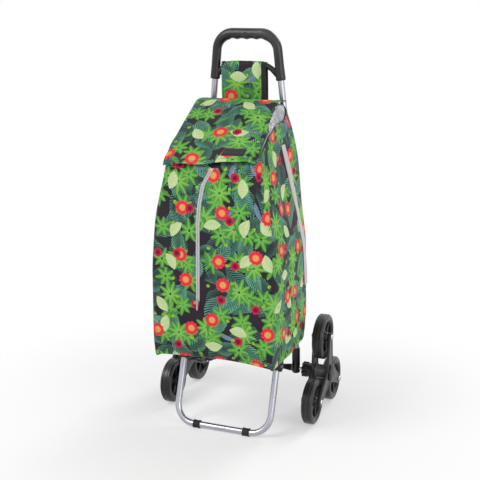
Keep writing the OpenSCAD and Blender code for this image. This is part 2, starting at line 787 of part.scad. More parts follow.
upright(-1);  // upright_left
upright(1);  // upright_right
sleeve(-1);  // sleeve_left
sleeve(1);  // sleeve_right
handle_grip();
axle();
axle_retainers();
support_arm(-1);  // support_arm_left
support_arm(1);  // support_arm_right
hinge_block(-1);  // hinge_block_left
hinge_block(1);  // hinge_block_right
stand_pins();
bag_rest();
stand_tube();
foot(-1);  // foot_left
foot(1);  // foot_right
cluster_core(-1);  // cluster_core_left
cluster_core(1);  // cluster_core_right
cluster_plate(-1, inner_plate_x);  // inner_plate_left
cluster_plate(1, inner_plate_x);  // inner_plate_right
bearing_block(-1);  // bearing_block_left
bearing_block(1);  // bearing_block_right
cluster_plate(-1, outer_plate_x);  // outer_plate_left
cluster_plate(1, outer_plate_x);  // outer_plate_right
wheel_bolts(-1);  // wheel_bolts_left
wheel_bolts(1);  // wheel_bolts_right
wheel_nuts(-1);  // wheel_nuts_left
wheel_nuts(1);  // wheel_nuts_right
hub_cap(-1);  // hub_cap_left
hub_cap(1);  // hub_cap_right
for (spot = [0:2]) {
    tyre(-1, spot);
    tyre(1, spot);
    rim(-1, spot);
    rim(1, spot);
}
bag_back();
bag_front();
bag_side(-1);  // bag_side_left
bag_side(1);  // bag_side_right
bag_floor();
base_board();
mouth_lining();
bag_flap();
flap_label();
zip_tape();
zip_slider();
zip_pull();
side_tapes();
hanging_strap();
strap_tape();
upright_loops();
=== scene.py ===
"""Looks of a stair-climbing shopping trolley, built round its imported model."""

import json
import logging
from dataclasses import dataclass, field
from enum import Enum
from math import acos, atan, atan2, cos, exp, pi, radians, sin, sqrt, tan, tau
from typing import Callable, Sequence

import bmesh
import bpy
from mathutils import Matrix, Vector, noise


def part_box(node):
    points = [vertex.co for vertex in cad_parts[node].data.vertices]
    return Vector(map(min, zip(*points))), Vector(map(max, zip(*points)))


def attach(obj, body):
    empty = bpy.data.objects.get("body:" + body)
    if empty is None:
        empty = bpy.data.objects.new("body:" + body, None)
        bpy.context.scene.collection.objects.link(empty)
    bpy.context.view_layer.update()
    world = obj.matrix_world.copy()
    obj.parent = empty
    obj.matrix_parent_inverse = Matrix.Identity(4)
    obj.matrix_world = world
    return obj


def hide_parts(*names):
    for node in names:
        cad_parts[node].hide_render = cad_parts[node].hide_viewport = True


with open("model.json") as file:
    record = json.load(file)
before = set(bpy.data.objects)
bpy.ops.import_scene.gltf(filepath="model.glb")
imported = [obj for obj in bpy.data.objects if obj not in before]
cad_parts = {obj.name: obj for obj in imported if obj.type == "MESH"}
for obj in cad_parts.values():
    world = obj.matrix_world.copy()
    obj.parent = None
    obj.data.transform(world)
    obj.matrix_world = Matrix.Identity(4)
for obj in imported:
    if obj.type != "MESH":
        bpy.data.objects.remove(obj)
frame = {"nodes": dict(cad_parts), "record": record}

LOG = logging.getLogger("trolley")
MM = 0.001
LEAN = radians(3)
CLOTH_UV = "cloth"
WHITE = (1.0, 1.0, 1.0, 1.0)
Colour = tuple[float, float, float, float]
Material, Piece, Socket = bpy.types.Material, bpy.types.Object, bpy.types.NodeSocket
Mesh, Vert, Edge = bmesh.types.BMesh, bmesh.types.BMVert, bmesh.types.BMEdge
Value = float | Sequence[float] | Socket


class Slot(Enum):
    """The record's material slots."""

    TUBE = "tube_aluminium"
    GRIP = "grip_plastic"
    BLACK = "black_plastic"
    ARM = "arm_plastic"
    BLOCK = "block_plastic"
    TYRE = "tyre_rubber"
    FOOT = "foot_rubber"
    STEEL = "bolt_steel"
    PRINT = "bag_print"
    WEBBING = "black_fabric"
    LINING = "silver_lining"
    PALE_TAPE = "pale_tape"
    ZIP_TAPE = "zip_tape"
    ZIP_METAL = "zip_metal"


class Side(Enum):
    """The two sides of the trolley, seen from the front."""

    LEFT = -1
    RIGHT = 1

    @property
    def word(self) -> str:
        """The side's name inside CAD node names."""
        return self.name.lower()


SPOTS = ("top", "front", "rear")


def joint(name: str) -> Vector:
    """The pivot of one of the record's joints, in metres."""
    found = next(j for j in frame["record"]["behaviour"]["joints"] if j["name"] == name)
    return Vector(found["pos_m"])


def middle(node: str) -> Vector:
    """The middle of a CAD node's box, in metres."""
    low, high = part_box(node)
    return (low + high) / 2


AXLE = Vector((0, middle("axle").y, middle("axle").z))


def on_frame(x: float, y: float, up: float) -> Vector:
    """A point given along the leaning uprights, from the axle, turned into the row frame."""
    return AXLE + Matrix.Rotation(LEAN, 3, "X") @ Vector((x, y, up))


def blend_in(value: float, start: float, end: float) -> float:
    """A smooth step from 0 at start to 1 at end."""
    t = max(0.0, min(1.0, (value - start) / (end - start)))
    return t * t * (3 - 2 * t)


def lookup(value: float, table: Sequence[tuple[float, float]]) -> float:
    """Reads a table of (input, output) rows, in order of input.

    Args:
        value: where to read it.
        table: the rows, which are joined by straight lines.

    Returns:
        The output, held level beyond both ends.
    """
    if value <= table[0][0]:
        return table[0][1]
    for (a, low), (b, high) in zip(table, table[1:]):
        if value <= b:
            return low + (high - low) * (value - a) / (b - a)
    return table[-1][1]


def ripple(x: float, y: float, z: float = 0.0) -> float:
    """Smooth noise from about -1 to 1, the same on every run."""
    return noise.noise(Vector((x + 3.7, y + 1.9, z + 5.3)))


@dataclass(frozen=True)
class Wave:
    """One set of soft folds: its height, its spacing in two directions and a number that shifts it."""

    high: float
    wide: float
    long: float
    shift: float = 0.0

    def at(self, x: float, y: float, turn: float = 1.0) -> float:
        """How far the folds stand out at a point."""
        return self.high * ripple(x / self.wide, y / self.long, self.shift * turn)


# ---- finishes ----


def paint(red: int, green: int, blue: int) -> Colour:
    """A shader colour from the three numbers of a screen colour, 0 to 255."""
    light = []
    for part in (red, green, blue):
        c = part / 255
        light.append(c / 12.92 if c <= 0.04045 else ((c + 0.055) / 1.055) ** 2.4)
    return (light[0], light[1], light[2], 1.0)


def dimmed(colour: Colour, share: float) -> Colour:
    """A colour made darker by a share below 1."""
    return (colour[0] * share, colour[1] * share, colour[2] * share, 1.0)


class Nodes:
    """Short calls that add nodes to the tree of a material or a world."""

    def __init__(self, owner: Material | bpy.types.World) -> None:
        """Starts with an empty tree."""
        owner.use_nodes = True
        self.tree = owner.node_tree
        self.tree.nodes.clear()

    def node(self, kind: str, inputs: dict[str | int, Value] | None = None, **settings: object) -> bpy.types.Node:
        """Adds a node.

        Args:
            kind: the end of its Blender type.
            inputs: input names or numbers, with a value or the socket that feeds them.
            **settings: the node's own properties.

        Returns:
            The new node.
        """
        made = self.tree.nodes.new(f"ShaderNode{kind}")
        for key, value in settings.items():
            setattr(made, key, value)
        for key, value in (inputs or {}).items():
            self.plug(made.inputs[key], value)
        return made

    def plug(self, socket: Socket, value: Value) -> None:
        """Feeds an input from another socket, or sets it."""
        if isinstance(value, Socket):
            self.tree.links.new(value, socket)
        else:
            socket.default_value = value

    def math(self, operation: str, *values: Value, clamp: bool = False) -> Socket:
        """A Math node's result."""
        return self.node("Math", dict(enumerate(values)), operation=operation, use_clamp=clamp).outputs[0]

    def times(self, *values: Value) -> Socket:
        """Two numbers multiplied."""
        return self.math("MULTIPLY", *values)

    def looks(self) -> Socket:
        """1 for rays that look, straight, in a mirror or through glass."""
        rays = self.node("LightPath").outputs
        total = rays["Is Camera Ray"]
        for name in ("Is Glossy Ray", "Is Transmission Ray"):
            total = self.math("ADD", total, rays[name], clamp=True)
        return total

    def either(self, share: Socket, low: bpy.types.Node, high: bpy.types.Node) -> Socket:
        """Two shaders mixed by a share."""
        return self.node("MixShader", {0: share, 1: low.outputs[0], 2: high.outputs[0]}).outputs[0]


class Graph(Nodes):
    """Short calls that build one material round its shader."""

    def __init__(self, name: str, **fixed: Value) -> None:
        """Starts a material whose shader has some inputs set.

        Args:
            name: the material's name.
            **fixed: shader inputs, with underscores for the spaces.
        """
        self.material = bpy.data.materials.new(name)
        super().__init__(self.material)
        self.shader = self.node("BsdfPrincipled", {k.replace("_", " "): v for k, v in fixed.items()})
        self.output = self.node("OutputMaterial", {"Surface": self.shader.outputs["BSDF"]})

    def feed(self, name: str, value: Value) -> None:
        """Feeds one of the shader's own inputs."""
        self.plug(self.shader.inputs[name], value)

    def vector(self, operation: str, *values: Value) -> Socket:
        """A Vector Math node's vector."""
        return self.node("VectorMath", dict(enumerate(values)), operation=operation).outputs[0]

    def mix(self, share: Value, low: Value, high: Value) -> Socket:
        """Two colours mixed by a share."""
        return self.node("Mix", {0: share, 6: low, 7: high}, data_type="RGBA").outputs[2]

    def spread(self, value: Value, low: float, high: float) -> Socket:
        """A value from 0 to 1 spread between two numbers."""
        return self.math("MULTIPLY_ADD", value, high - low, low)

    def ramp(self, value: Value, start: float, end: float) -> Socket:
        """0 below start and 1 above end, smooth between them."""
        inputs = {"Value": value, "From Min": start, "From Max": end}
        return self.node("MapRange", inputs, interpolation_type="SMOOTHSTEP").outputs[0]

    def place(self) -> Socket:
        """The point on the object, in metres."""
        return self.node("TexCoord").outputs["Object"]

    def cloth(self) -> Socket:
        """The point on the cloth, in metres along its weave."""
        return self.node("UVMap", uv_map=CLOTH_UV).outputs["UV"]

    def cloud(self, place: Value, scale: float, detail: float = 3.0, rough: float = 0.55) -> Socket:
        """Noise of about 0 to 1."""
        inputs = {"Vector": place, "Scale": scale, "Detail": detail, "Roughness": rough}
        return self.node("TexNoise", inputs).outputs[0]

    def bump(self, height: Value, depth: float, strength: float = 1.0) -> None:
        """Feeds the shader's normal from a height of 0 to 1 that is depth metres."""
        inputs = {"Height": height, "Distance": depth, "Strength": strength}
        self.feed("Normal", self.node("Bump", inputs).outputs[0])


@dataclass(frozen=True)
class Metal:
    """A metal with a drawn or brushed grain and slight stains."""

    name: str
    colour: Colour
    rough: tuple[float, float] = (0.22, 0.36)
    grain: tuple[float, float, float] = (900.0, 900.0, 14.0)
    tarnish: float = 0.1

    def make(self) -> Material:
        """Makes the material."""
        g = Graph(self.name, Metallic=1.0)
        place = g.place()
        lines = g.cloud(g.vector("MULTIPLY", place, self.grain), 1.0, 2.0)
        stains = g.cloud(place, 22.0, 4.0)
        dark = dimmed(self.colour, 1 - self.tarnish * 2)
        g.feed("Base Color", g.mix(g.ramp(stains, 0.5, 0.8), self.colour, dark))
        worn = g.math("MULTIPLY_ADD", lines, 0.6, g.times(stains, 0.4))
        g.feed("Roughness", g.spread(worn, *self.rough))
        g.bump(lines, 0.00006, 0.35)
        return g.material


@dataclass(frozen=True)
class Moulded:
    """A moulded plastic or rubber with a fine skin texture, handling marks and dust."""

    name: str
    colour: Colour
    rough: tuple[float, float] = (0.36, 0.52)
    skin: float = 2600.0
    depth: float = 0.00012
    dust: float = 0.06
    specular: float = 0.5

    def make(self) -> Material:
        """Makes the material."""
        g = Graph(self.name, Specular_IOR_Level=self.specular)
        place = g.place()
        skin = g.cloud(place, self.skin, 2.0)
        marks = g.cloud(g.vector("MULTIPLY", place, (1.0, 1.0, 0.4)), 60.0, 6.0, 0.65)
        haze = g.ramp(g.cloud(place, 9.0, 4.0), 0.48, 0.78)
        pale = tuple(c + (0.55 - c) * self.dust for c in self.colour[:3]) + (1.0,)
        shade = dimmed(self.colour, 0.8)
        base = g.mix(g.ramp(marks, 0.35, 0.65), shade, self.colour)
        g.feed("Base Color", g.mix(haze, base, pale))
        g.feed("Roughness", g.spread(g.math("MULTIPLY_ADD", marks, 0.7, g.times(haze, 0.3)), *self.rough))
        g.bump(skin, self.depth, 0.5)
        return g.material


@dataclass(frozen=True)
class Woven:
    """A plain weave of two sets of yarns, on a piece with its own cloth coordinates or on any solid."""

    name: str
    warp: Colour
    weft: Colour
    pitch: float = 0.0009
    on_cloth: bool = True
    rough: float = 0.78
    sheen: float = 0.25

    def make(self) -> Material:
        """Makes the material."""
        g = Graph(self.name, Roughness=self.rough, Sheen_Weight=self.sheen, Specular_IOR_Level=0.3)
        place = g.cloth() if self.on_cloth else g.place()
        parts = g.node("SeparateXYZ", {0: place}).outputs
        across, along = (parts[0], parts[1]) if self.on_cloth else (g.math("ADD", parts[0], parts[1]), parts[2])
        weave = weave_height(g, across, along, self.pitch)
        fuzz = g.cloud(place, 240.0, 4.0, 0.7)
        base = g.mix(weave, self.weft, self.warp)
        worn = tuple(min(1.0, c * 1.35 + 0.012) for c in self.warp[:3]) + (1.0,)
        g.feed("Base Color", g.mix(g.ramp(fuzz, 0.45, 0.85), base, worn))
        g.bump(g.math("MULTIPLY_ADD", fuzz, 0.35, weave), 0.00022, 0.6)
        return g.material


def weave_height(g: Graph, across: Socket, along: Socket, pitch: float) -> Socket:
    """The height, 0 to 1, of a plain weave whose yarns lie a pitch apart."""
    turn = pi / pitch
    a = g.math("SINE", g.times(across, turn))
    b = g.math("SINE", g.times(along, turn))
    return g.spread(g.times(a, b), 0.5, 1.0)


@dataclass(frozen=True)
class Foil:
    """A thin silver-coated lining with fine crinkles, and painted shade in the hollows of its folds."""

    name: str
    colour: Colour = paint(158, 159, 165)

    def make(self) -> Material:
        """Makes the material."""
        g = Graph(self.name, Metallic=0.45, Sheen_Weight=0.1)
        place = g.place()
        folds = g.cloud(place, 55.0, 5.0, 0.6)
        fine = g.cloud(place, 260.0, 3.0, 0.6)
        # painted shade: the colour goes darker where the fold noise, which is also the bump's height, is low
        dark = dimmed(self.colour, 0.62)
        g.feed("Base Color", g.mix(g.ramp(folds, 0.36, 0.6), dark, self.colour))
        g.feed("Roughness", g.spread(fine, 0.3, 0.55))
        g.bump(g.math("MULTIPLY_ADD", fine, 0.25, folds), 0.006, 0.9)
        return g.material


@dataclass(frozen=True)
class Motif:
    """One kind of printed motif, scattered over the cloth.

    cell: distance between two places for it, in metres
    seed: shifts its places
    chance: share of the places that stay empty
    """

    cell: float
    seed: float
    chance: float
    dark: Colour
    light: Colour
    size: float
    width: float = 0.0
    points: int = 0
    stripe: float = 0.0
    heart: Colour | None = None


class Garden:
    """A made-up all-over print: fern fronds, leaf whorls, broad leaves, round blossoms and berries."""

    ground = paint(44, 35, 45)
    soft = 0.0005
    fronds = (
        Motif(0.070, 1.3, 0.1, paint(26, 44, 46), paint(86, 150, 128), 0.047, width=0.022, stripe=0.0070),
        Motif(0.062, 7.9, 0.1, paint(28, 52, 50), paint(120, 200, 160), 0.040, width=0.018, stripe=0.0062),
        Motif(0.084, 4.2, 0.2, paint(22, 40, 42), paint(98, 168, 144), 0.054, width=0.020, stripe=0.0075),
    )
    slips = (
        Motif(0.098, 2.7, 0.35, paint(88, 112, 140), paint(150, 176, 196), 0.024, width=0.0056),
        Motif(0.078, 9.1, 0.25, paint(52, 118, 44), paint(118, 188, 84), 0.023, width=0.0050),
    )
    whorls = (
        Motif(0.066, 5.5, 0.1, paint(44, 108, 40), paint(122, 196, 84), 0.032, width=0.0062, points=7),
        Motif(0.088, 8.3, 0.25, paint(58, 128, 48), paint(140, 205, 92), 0.036, width=0.0058, points=9),
    )
    broad = (Motif(0.088, 3.1, 0.12, paint(186, 208, 142), paint(222, 236, 186), 0.0225, width=0.0125),)
    blossoms = (
        Motif(0.094, 6.6, 0.1, paint(214, 24, 52), paint(240, 52, 74), 0.0175, points=10, heart=paint(242, 172, 94)),
        Motif(0.102, 11.7, 0.3, paint(168, 14, 56), paint(206, 30, 78), 0.0115, points=6, heart=paint(120, 10, 44)),
    )
    berries = (Motif(0.046, 10.4, 0.55, paint(110, 160, 24), paint(166, 206, 70), 0.0042, points=1),)

    def __init__(self, name: str) -> None:
        """Starts the material."""
        self.g = Graph(name, Specular_IOR_Level=0.2)
        self.cloth = self.g.cloth()

    def scatter(self, m: Motif) -> tuple[Socket, Socket, Socket, Socket]:
        """Places a motif over the cloth.

        Args:
            m: the motif.

        Returns:
            The two coordinates in the nearest motif, its own random number, and 1 where it is there.
        """
        g = self.g
        scaled = g.vector("MULTIPLY_ADD", self.cloth, (1 / m.cell,) * 3, (m.seed, m.seed * 1.7, 0.0))
        inputs = {"Vector": scaled, "Scale": 1.0, "Randomness": 0.62}
        cells = g.node("TexVoronoi", inputs, voronoi_dimensions="2D")
        dice = g.node("SeparateColor", {0: cells.outputs["Color"]}).outputs
        local = g.vector("SUBTRACT", scaled, cells.outputs["Position"])
        inputs = {"Vector": local, "Angle": g.times(dice[0], tau)}
        turned = g.node("VectorRotate", inputs, rotation_type="Z_AXIS")
        metres = g.vector("MULTIPLY", turned.outputs[0], (m.cell,) * 3)
        parts = g.node("SeparateXYZ", {0: metres}).outputs
        there = g.math("GREATER_THAN", dice[1], m.chance)
        return parts[0], parts[1], dice[2], there

    def inside(self, depth: Socket, there: Socket) -> Socket:
        """A soft-edged mask from the depth inside an outline, in metres."""
        edge = self.g.math("MULTIPLY_ADD", depth, 1 / self.soft, 0.5, clamp=True)
        return self.g.times(edge, there)

    def polar(self, x: Socket, y: Socket) -> tuple[Socket, Socket]:
        """The distance and the angle of a point from its motif's middle."""
        g = self.g
        return g.math("SQRT", g.math("ADD", g.times(x, x), g.times(y, y))), g.math("ARCTAN2", y, x)

    def leaf_depth(self, along: Socket, off: Socket, length: float, width: float) -> Socket:
        """How far a point lies inside a pointed leaf."""
        g = self.g
        share = g.math("DIVIDE", along, length)
        crown = g.math("SUBTRACT", 1.0, g.times(share, share))
        return g.math("SUBTRACT", g.times(crown, width), off)

    def frond(self, base: Socket, m: Motif) -> Socket:
        """Prints a fern frond: a leaf outline cut into slanted stripes."""
        g = self.g
        x, y, tint, there = self.scatter(m)
        bend = g.times(g.times(x, x), 9.0)
        off = g.math("ABSOLUTE", g.math("ADD", y, bend))
        depth = self.leaf_depth(x, off, m.size, m.width)
        wave = g.math("MULTIPLY_ADD", off, -1.15, x)
        stripes = g.math("SINE", g.times(wave, tau / m.stripe))
        rib = g.math("LESS_THAN", off, 0.0006)
        cut = g.math("MAXIMUM", g.ramp(stripes, -0.25, 0.35), rib)
        mask = g.times(self.inside(depth, there), cut)
        shade = g.ramp(off, 0.0, m.width)
        colour = g.mix(g.times(g.math("ADD", shade, tint), 0.6), m.dark, m.light)
        return g.mix(mask, base, colour)

    def leaf(self, base: Socket, m: Motif) -> Socket:
        """Prints a single leaf with a pale rib and a mottled blade."""
        g = self.g
        x, y, tint, there = self.scatter(m)
        bend = g.times(g.times(x, x), g.spread(tint, -12.0, 12.0))
        off = g.math("ABSOLUTE", g.math("ADD", y, bend))
        mask = self.inside(self.leaf_depth(x, off, m.size, m.width), there)
        mottle = g.cloud(self.cloth, 330.0, 3.0, 0.7)
        blade = g.mix(g.ramp(mottle, 0.35, 0.68), m.dark, m.light)
        rib = g.math("LESS_THAN", off, 0.00035)
        half = g.math("GREATER_THAN", g.math("ADD", y, bend), 0.0)
        sided = g.mix(g.times(half, 0.35), blade, m.dark)
        return g.mix(mask, base, g.mix(g.times(rib, 0.7), sided, m.dark))

    def star(self, base: Socket, m: Motif) -> Socket:
        """Prints a whorl of narrow leaves round one point."""
        g = self.g
        x, y, tint, there = self.scatter(m)
        sector = tau / m.points
        radius, angle = self.polar(x, y)
        count = g.math("MULTIPLY_ADD", angle, 1 / sector, 20.0)
        index = g.math("FLOOR", count)
        aside = g.math("SUBTRACT", g.math("SUBTRACT", count, index), 0.5)
        off = g.math("ABSOLUTE", g.times(g.times(aside, sector), radius))
        uneven = g.spread(g.math("FRACT", g.times(g.math("ADD", index, tint), 0.618)), 0.72, 1.0)
        along = g.math("SUBTRACT", g.math("DIVIDE", radius, uneven), m.size * 0.54)
        mask = self.inside(self.leaf_depth(along, off, m.size * 0.46, m.width), there)
        shine = g.ramp(g.math("MULTIPLY_ADD", off, -1.2, m.width), 0.0, m.width)
        tone = g.math("MULTIPLY_ADD", g.ramp(radius, m.size, 0.0), 0.35, g.times(shine, 0.65))
        return g.mix(mask, base, g.mix(tone, m.dark, m.light))

    def bloom(self, base: Socket, m: Motif) -> Socket:
        """Prints a round blossom with scalloped petals and a pale heart."""
        g = self.g
        x, y, _, there = self.scatter(m)
        radius, angle = self.polar(x, y)
        lobes = g.math("ABSOLUTE", g.math("SINE", g.times(angle, m.points / 2)))
        rim = g.spread(lobes, m.size * 0.84, m.size)
        mask = self.inside(g.math("SUBTRACT", rim, radius), there)
        share = g.math("DIVIDE", radius, m.size)
        petal = g.mix(g.times(g.ramp(lobes, 0.1, 0.6), g.ramp(share, 0.2, 0.6)), m.dark, m.light)
        if m.heart:
            rings = g.math("SINE", g.times(share, 22.0))
            heart = g.mix(g.ramp(rings, -0.4, 0.9), m.heart, dimmed(m.heart, 0.8))
            petal = g.mix(g.ramp(share, 0.52, 0.40), petal, heart)
        return g.mix(mask, base, petal)

    def make(self) -> Material:
        """Lays the motifs over each other and adds the weave."""
        g = self.g
        grime = g.ramp(g.cloud(self.cloth, 14.0, 4.0), 0.3, 0.75)
        shade = dimmed(self.ground, 0.72)
        colour = g.mix(grime, self.ground, shade)
        layers = ((self.frond, self.fronds), (self.leaf, self.slips[:1]), (self.star, self.whorls))
        layers += ((self.leaf, self.slips[1:]), (self.leaf, self.broad), (self.bloom, self.blossoms + self.berries))
        for prints, motifs in layers:
            for motif in motifs:
                colour = prints(colour, motif)
        parts = g.node("SeparateXYZ", {0: self.cloth}).outputs
        weave = weave_height(g, parts[0], parts[1], 0.0007)
        g.feed("Base Color", g.mix(g.times(weave, 0.12), colour, dimmed(self.ground, 0.5)))
        g.feed("Roughness", g.spread(grime, 0.52, 0.68))
        g.bump(weave, 0.00015, 0.4)
        return g.material


class Finishes:
    """Every material of the trolley, made once."""

    def __init__(self) -> None:
        """Makes the materials."""
        self.tube = Metal("anodised tube", paint(178, 179, 187), (0.26, 0.42), tarnish=0.08).make()
        self.steel = Metal("zinc plated steel", paint(196, 198, 202), (0.24, 0.42), (500.0, 60.0, 500.0), 0.16).make()
        self.zip_metal = Metal("nickel plated zinc", paint(186, 186, 190), (0.2, 0.35), (400.0, 400.0, 400.0)).make()
        self.grip = Moulded("satin grip plastic", paint(15, 15, 18), (0.3, 0.44), 1800.0, 0.0002, 0.05).make()
        self.black = Moulded("black moulded plastic", paint(13, 13, 15), (0.34, 0.5), dust=0.03).make()
        self.arm = Moulded("dark arm plastic", paint(38, 36, 46), (0.3, 0.46), dust=0.05).make()
        self.block = Moulded("grey bearing plastic", paint(118, 118, 121), (0.4, 0.55), dust=0.1).make()
        self.tyre = Moulded("tyre rubber", paint(13, 12, 15), (0.26, 0.42), 900.0, 0.00025, 0.06).make()
        self.foot = Moulded("foot rubber", paint(20, 20, 22), (0.55, 0.75), 1200.0, 0.0003, 0.08, 0.35).make()
        self.board = Moulded("base board", paint(40, 40, 42), (0.6, 0.75), 700.0, 0.0003, 0.1).make()
        self.webbing = Woven("black webbing", paint(26, 25, 28), paint(14, 14, 16), 0.0014, on_cloth=False).make()
        self.backing = Woven("black backing cloth", paint(28, 27, 31), paint(17, 16, 19), 0.0009, on_cloth=False).make()
        self.pale_tape = Woven("pale tape", paint(214, 203, 206), paint(182, 172, 176), 0.0011).make()
        self.zip_tape = Woven("zip tape", paint(222, 222, 222), paint(190, 188, 192), 0.0008).make()
        self.coil = Moulded("zip coil", paint(150, 146, 152), (0.3, 0.45), dust=0.1).make()
        self.thread = Moulded("sewing thread", paint(30, 28, 32), (0.6, 0.8), dust=0.02).make()
        self.pale_thread = Moulded("pale thread", paint(196, 190, 192), (0.6, 0.8), dust=0.02).make()
        self.lining = Foil("silver lining").make()
        self.print = Garden("printed cloth").make()


# ---- shaping ----

Point = tuple[float, float]
Corner = tuple[float, float, float]
Table = tuple[Point, ...]
Shape = Callable[[float, float], Vector]


def soften(corners: Sequence[Corner], steps: int = 4, closed: bool = True) -> list[Point]:
    """Rounds the corners of an outline.

    Args:
        corners: (x, y, radius) for each corner, in millimetres.
        steps: pieces in each rounding.
        closed: whether the last corner joins the first.

    Returns:
        The points of the rounded outline, in metres.
    """
    points: list[Point] = []
    count = len(corners)
    for i, (x, y, radius) in enumerate(corners):
        here = Vector((x, y))
        back = Vector(corners[i - 1][:2]) - here
        ahead = Vector(corners[(i + 1) % count][:2]) - here
        sharp = radius <= 0 or (not closed and i in (0, count - 1))
        half = 0.0 if sharp else back.angle(ahead) / 2
        if sharp or half > radians(89):
            points.append((x, y))
            continue
        run = min(radius / tan(half), back.length * 0.49, ahead.length * 0.49)
        start = here + back.normalized() * run
        end = here + ahead.normalized() * run
        centre = here + (back.normalized() + ahead.normalized()).normalized() * (run / cos(half))
        first, last = start - centre, end - centre
        turn = atan2(first.x * last.y - first.y * last.x, first.dot(last))
        for k in range(steps + 1):
            points.append(tuple(centre + Matrix.Rotation(turn * k / steps, 2) @ first))
    return [(x * MM, y * MM) for x, y in points]


def line_of(a: Point, b: Point, steps: int) -> list[Point]:
    """The points of a straight line between two points."""
    return [(a[0] + (b[0] - a[0]) * k / steps, a[1] + (b[1] - a[1]) * k / steps) for k in range(steps + 1)]


def mirrored(corners: Sequence[Corner]) -> list[Corner]:
    """A half outline and its mirror image in x, joined into one."""
    return [*corners, *[(-x, y, r) for x, y, r in reversed(corners)]]


def lathed(profile: Sequence[Corner], sides: int = 64, closed: bool = False, soft: int = 4) -> Mesh:
    """Spins a profile round the z axis.

    Args:
        profile: (height, radius, rounding) corners, in millimetres.
        sides: pieces in the full turn.
        closed: whether the profile's last corner joins its first.
        soft: pieces in each rounding.

    Returns:
        The turned mesh, with its poles closed.
    """
    bm = bmesh.new()
    verts = [bm.verts.new((radius, 0, height)) for height, radius in soften(profile, soft, closed)]
    ends = verts[1:] + verts[:1] if closed else verts[1:]
    edges = [bm.edges.new(pair) for pair in zip(verts, ends)]
    middle_at, up = (0, 0, 0), (0, 0, 1)
    bmesh.ops.spin(bm, geom=[*verts, *edges], cent=middle_at, axis=up, angle=tau, steps=sides, use_merge=True)
    bmesh.ops.remove_doubles(bm, verts=bm.verts, dist=1e-6)
    face_out(bm)
    return bm


def plate(corners: Sequence[Corner], soft: int, thick: float, edge: float, rim: float = 0.0, sink: float = 0.0) -> Mesh:
    """Grows an outline along z into a plate with rounded edges; sizes in millimetres.

    Args:
        corners: (x, y, rounding) for each corner of its outline.
        soft: pieces in each rounding.
        thick: its thickness.
        edge: size of the rounding on both faces.
        rim: width left standing round a sunk panel on the far face.
        sink: depth of that panel.

    Returns:
        The plate.
    """
    bm = bmesh.new()
    face = bm.faces.new([bm.verts.new((x, y, 0)) for x, y in soften(corners, soft)])
    grown = bmesh.ops.extrude_face_region(bm, geom=[face])
    bmesh.ops.translate(bm, verts=picked(grown["geom"], Vert), vec=(0, 0, thick * MM))
    face_out(bm)
    rims = [e for e in bm.edges if abs(e.verts[0].co.z - e.verts[1].co.z) < 1e-9]
    bevel(bm, rims, edge, 3, clamp_overlap=True)
    if sink:
        lid = max((f for f in bm.faces if f.normal.z > 0.9), key=lambda f: f.calc_area())
        for wide, deep in ((rim, 0.0), (sink * 0.8, sink)):
            bmesh.ops.inset_region(bm, faces=[lid], thickness=wide * MM, depth=-deep * MM, use_even_offset=True)
    return bm


def bevel(bm: Mesh, edges: Sequence[Edge], size: float, pieces: int, **more: bool) -> None:
    """Rounds edges by a size in millimetres."""
    bmesh.ops.bevel(bm, geom=edges, offset=size * MM, segments=pieces, profile=0.5, affect="EDGES", material=-1, **more)


def slab(low: Sequence[float], high: Sequence[float], edge: float) -> Mesh:
    """A block between two corners, with rounded edges; sizes in millimetres."""
    bm = bmesh.new()
    low, high = Vector(low) * MM, Vector(high) * MM
    at = Matrix.Translation((low + high) / 2) @ Matrix.Diagonal((*(high - low), 1))
    bmesh.ops.create_cube(bm, size=1.0, matrix=at)
    bevel(bm, bm.edges[:], edge, 2)
    return bm


def area_of(bm: Mesh) -> float:
    """The area of all faces, in square metres."""
    return sum(face.calc_area() for face in bm.faces)


def face_out(bm: Mesh) -> None:
    """Turns the faces outwards."""
    bmesh.ops.recalc_face_normals(bm, faces=bm.faces[:])


def absorb(bm: Mesh, part: Mesh, at: Matrix | None = None) -> None:
    """Puts a part in place and moves it into a larger mesh."""
    if at is not None:
        bmesh.ops.transform(part, matrix=at, verts=part.verts)
    mesh = bpy.data.meshes.new("part")
    part.to_mesh(mesh)
    part.free()
    bm.from_mesh(mesh)
    bpy.data.meshes.remove(mesh)


def picked(geometry: Sequence[object], kind: type) -> list:
    """The parts of one kind in what an operator gives back."""
    return [part for part in geometry if isinstance(part, kind)]


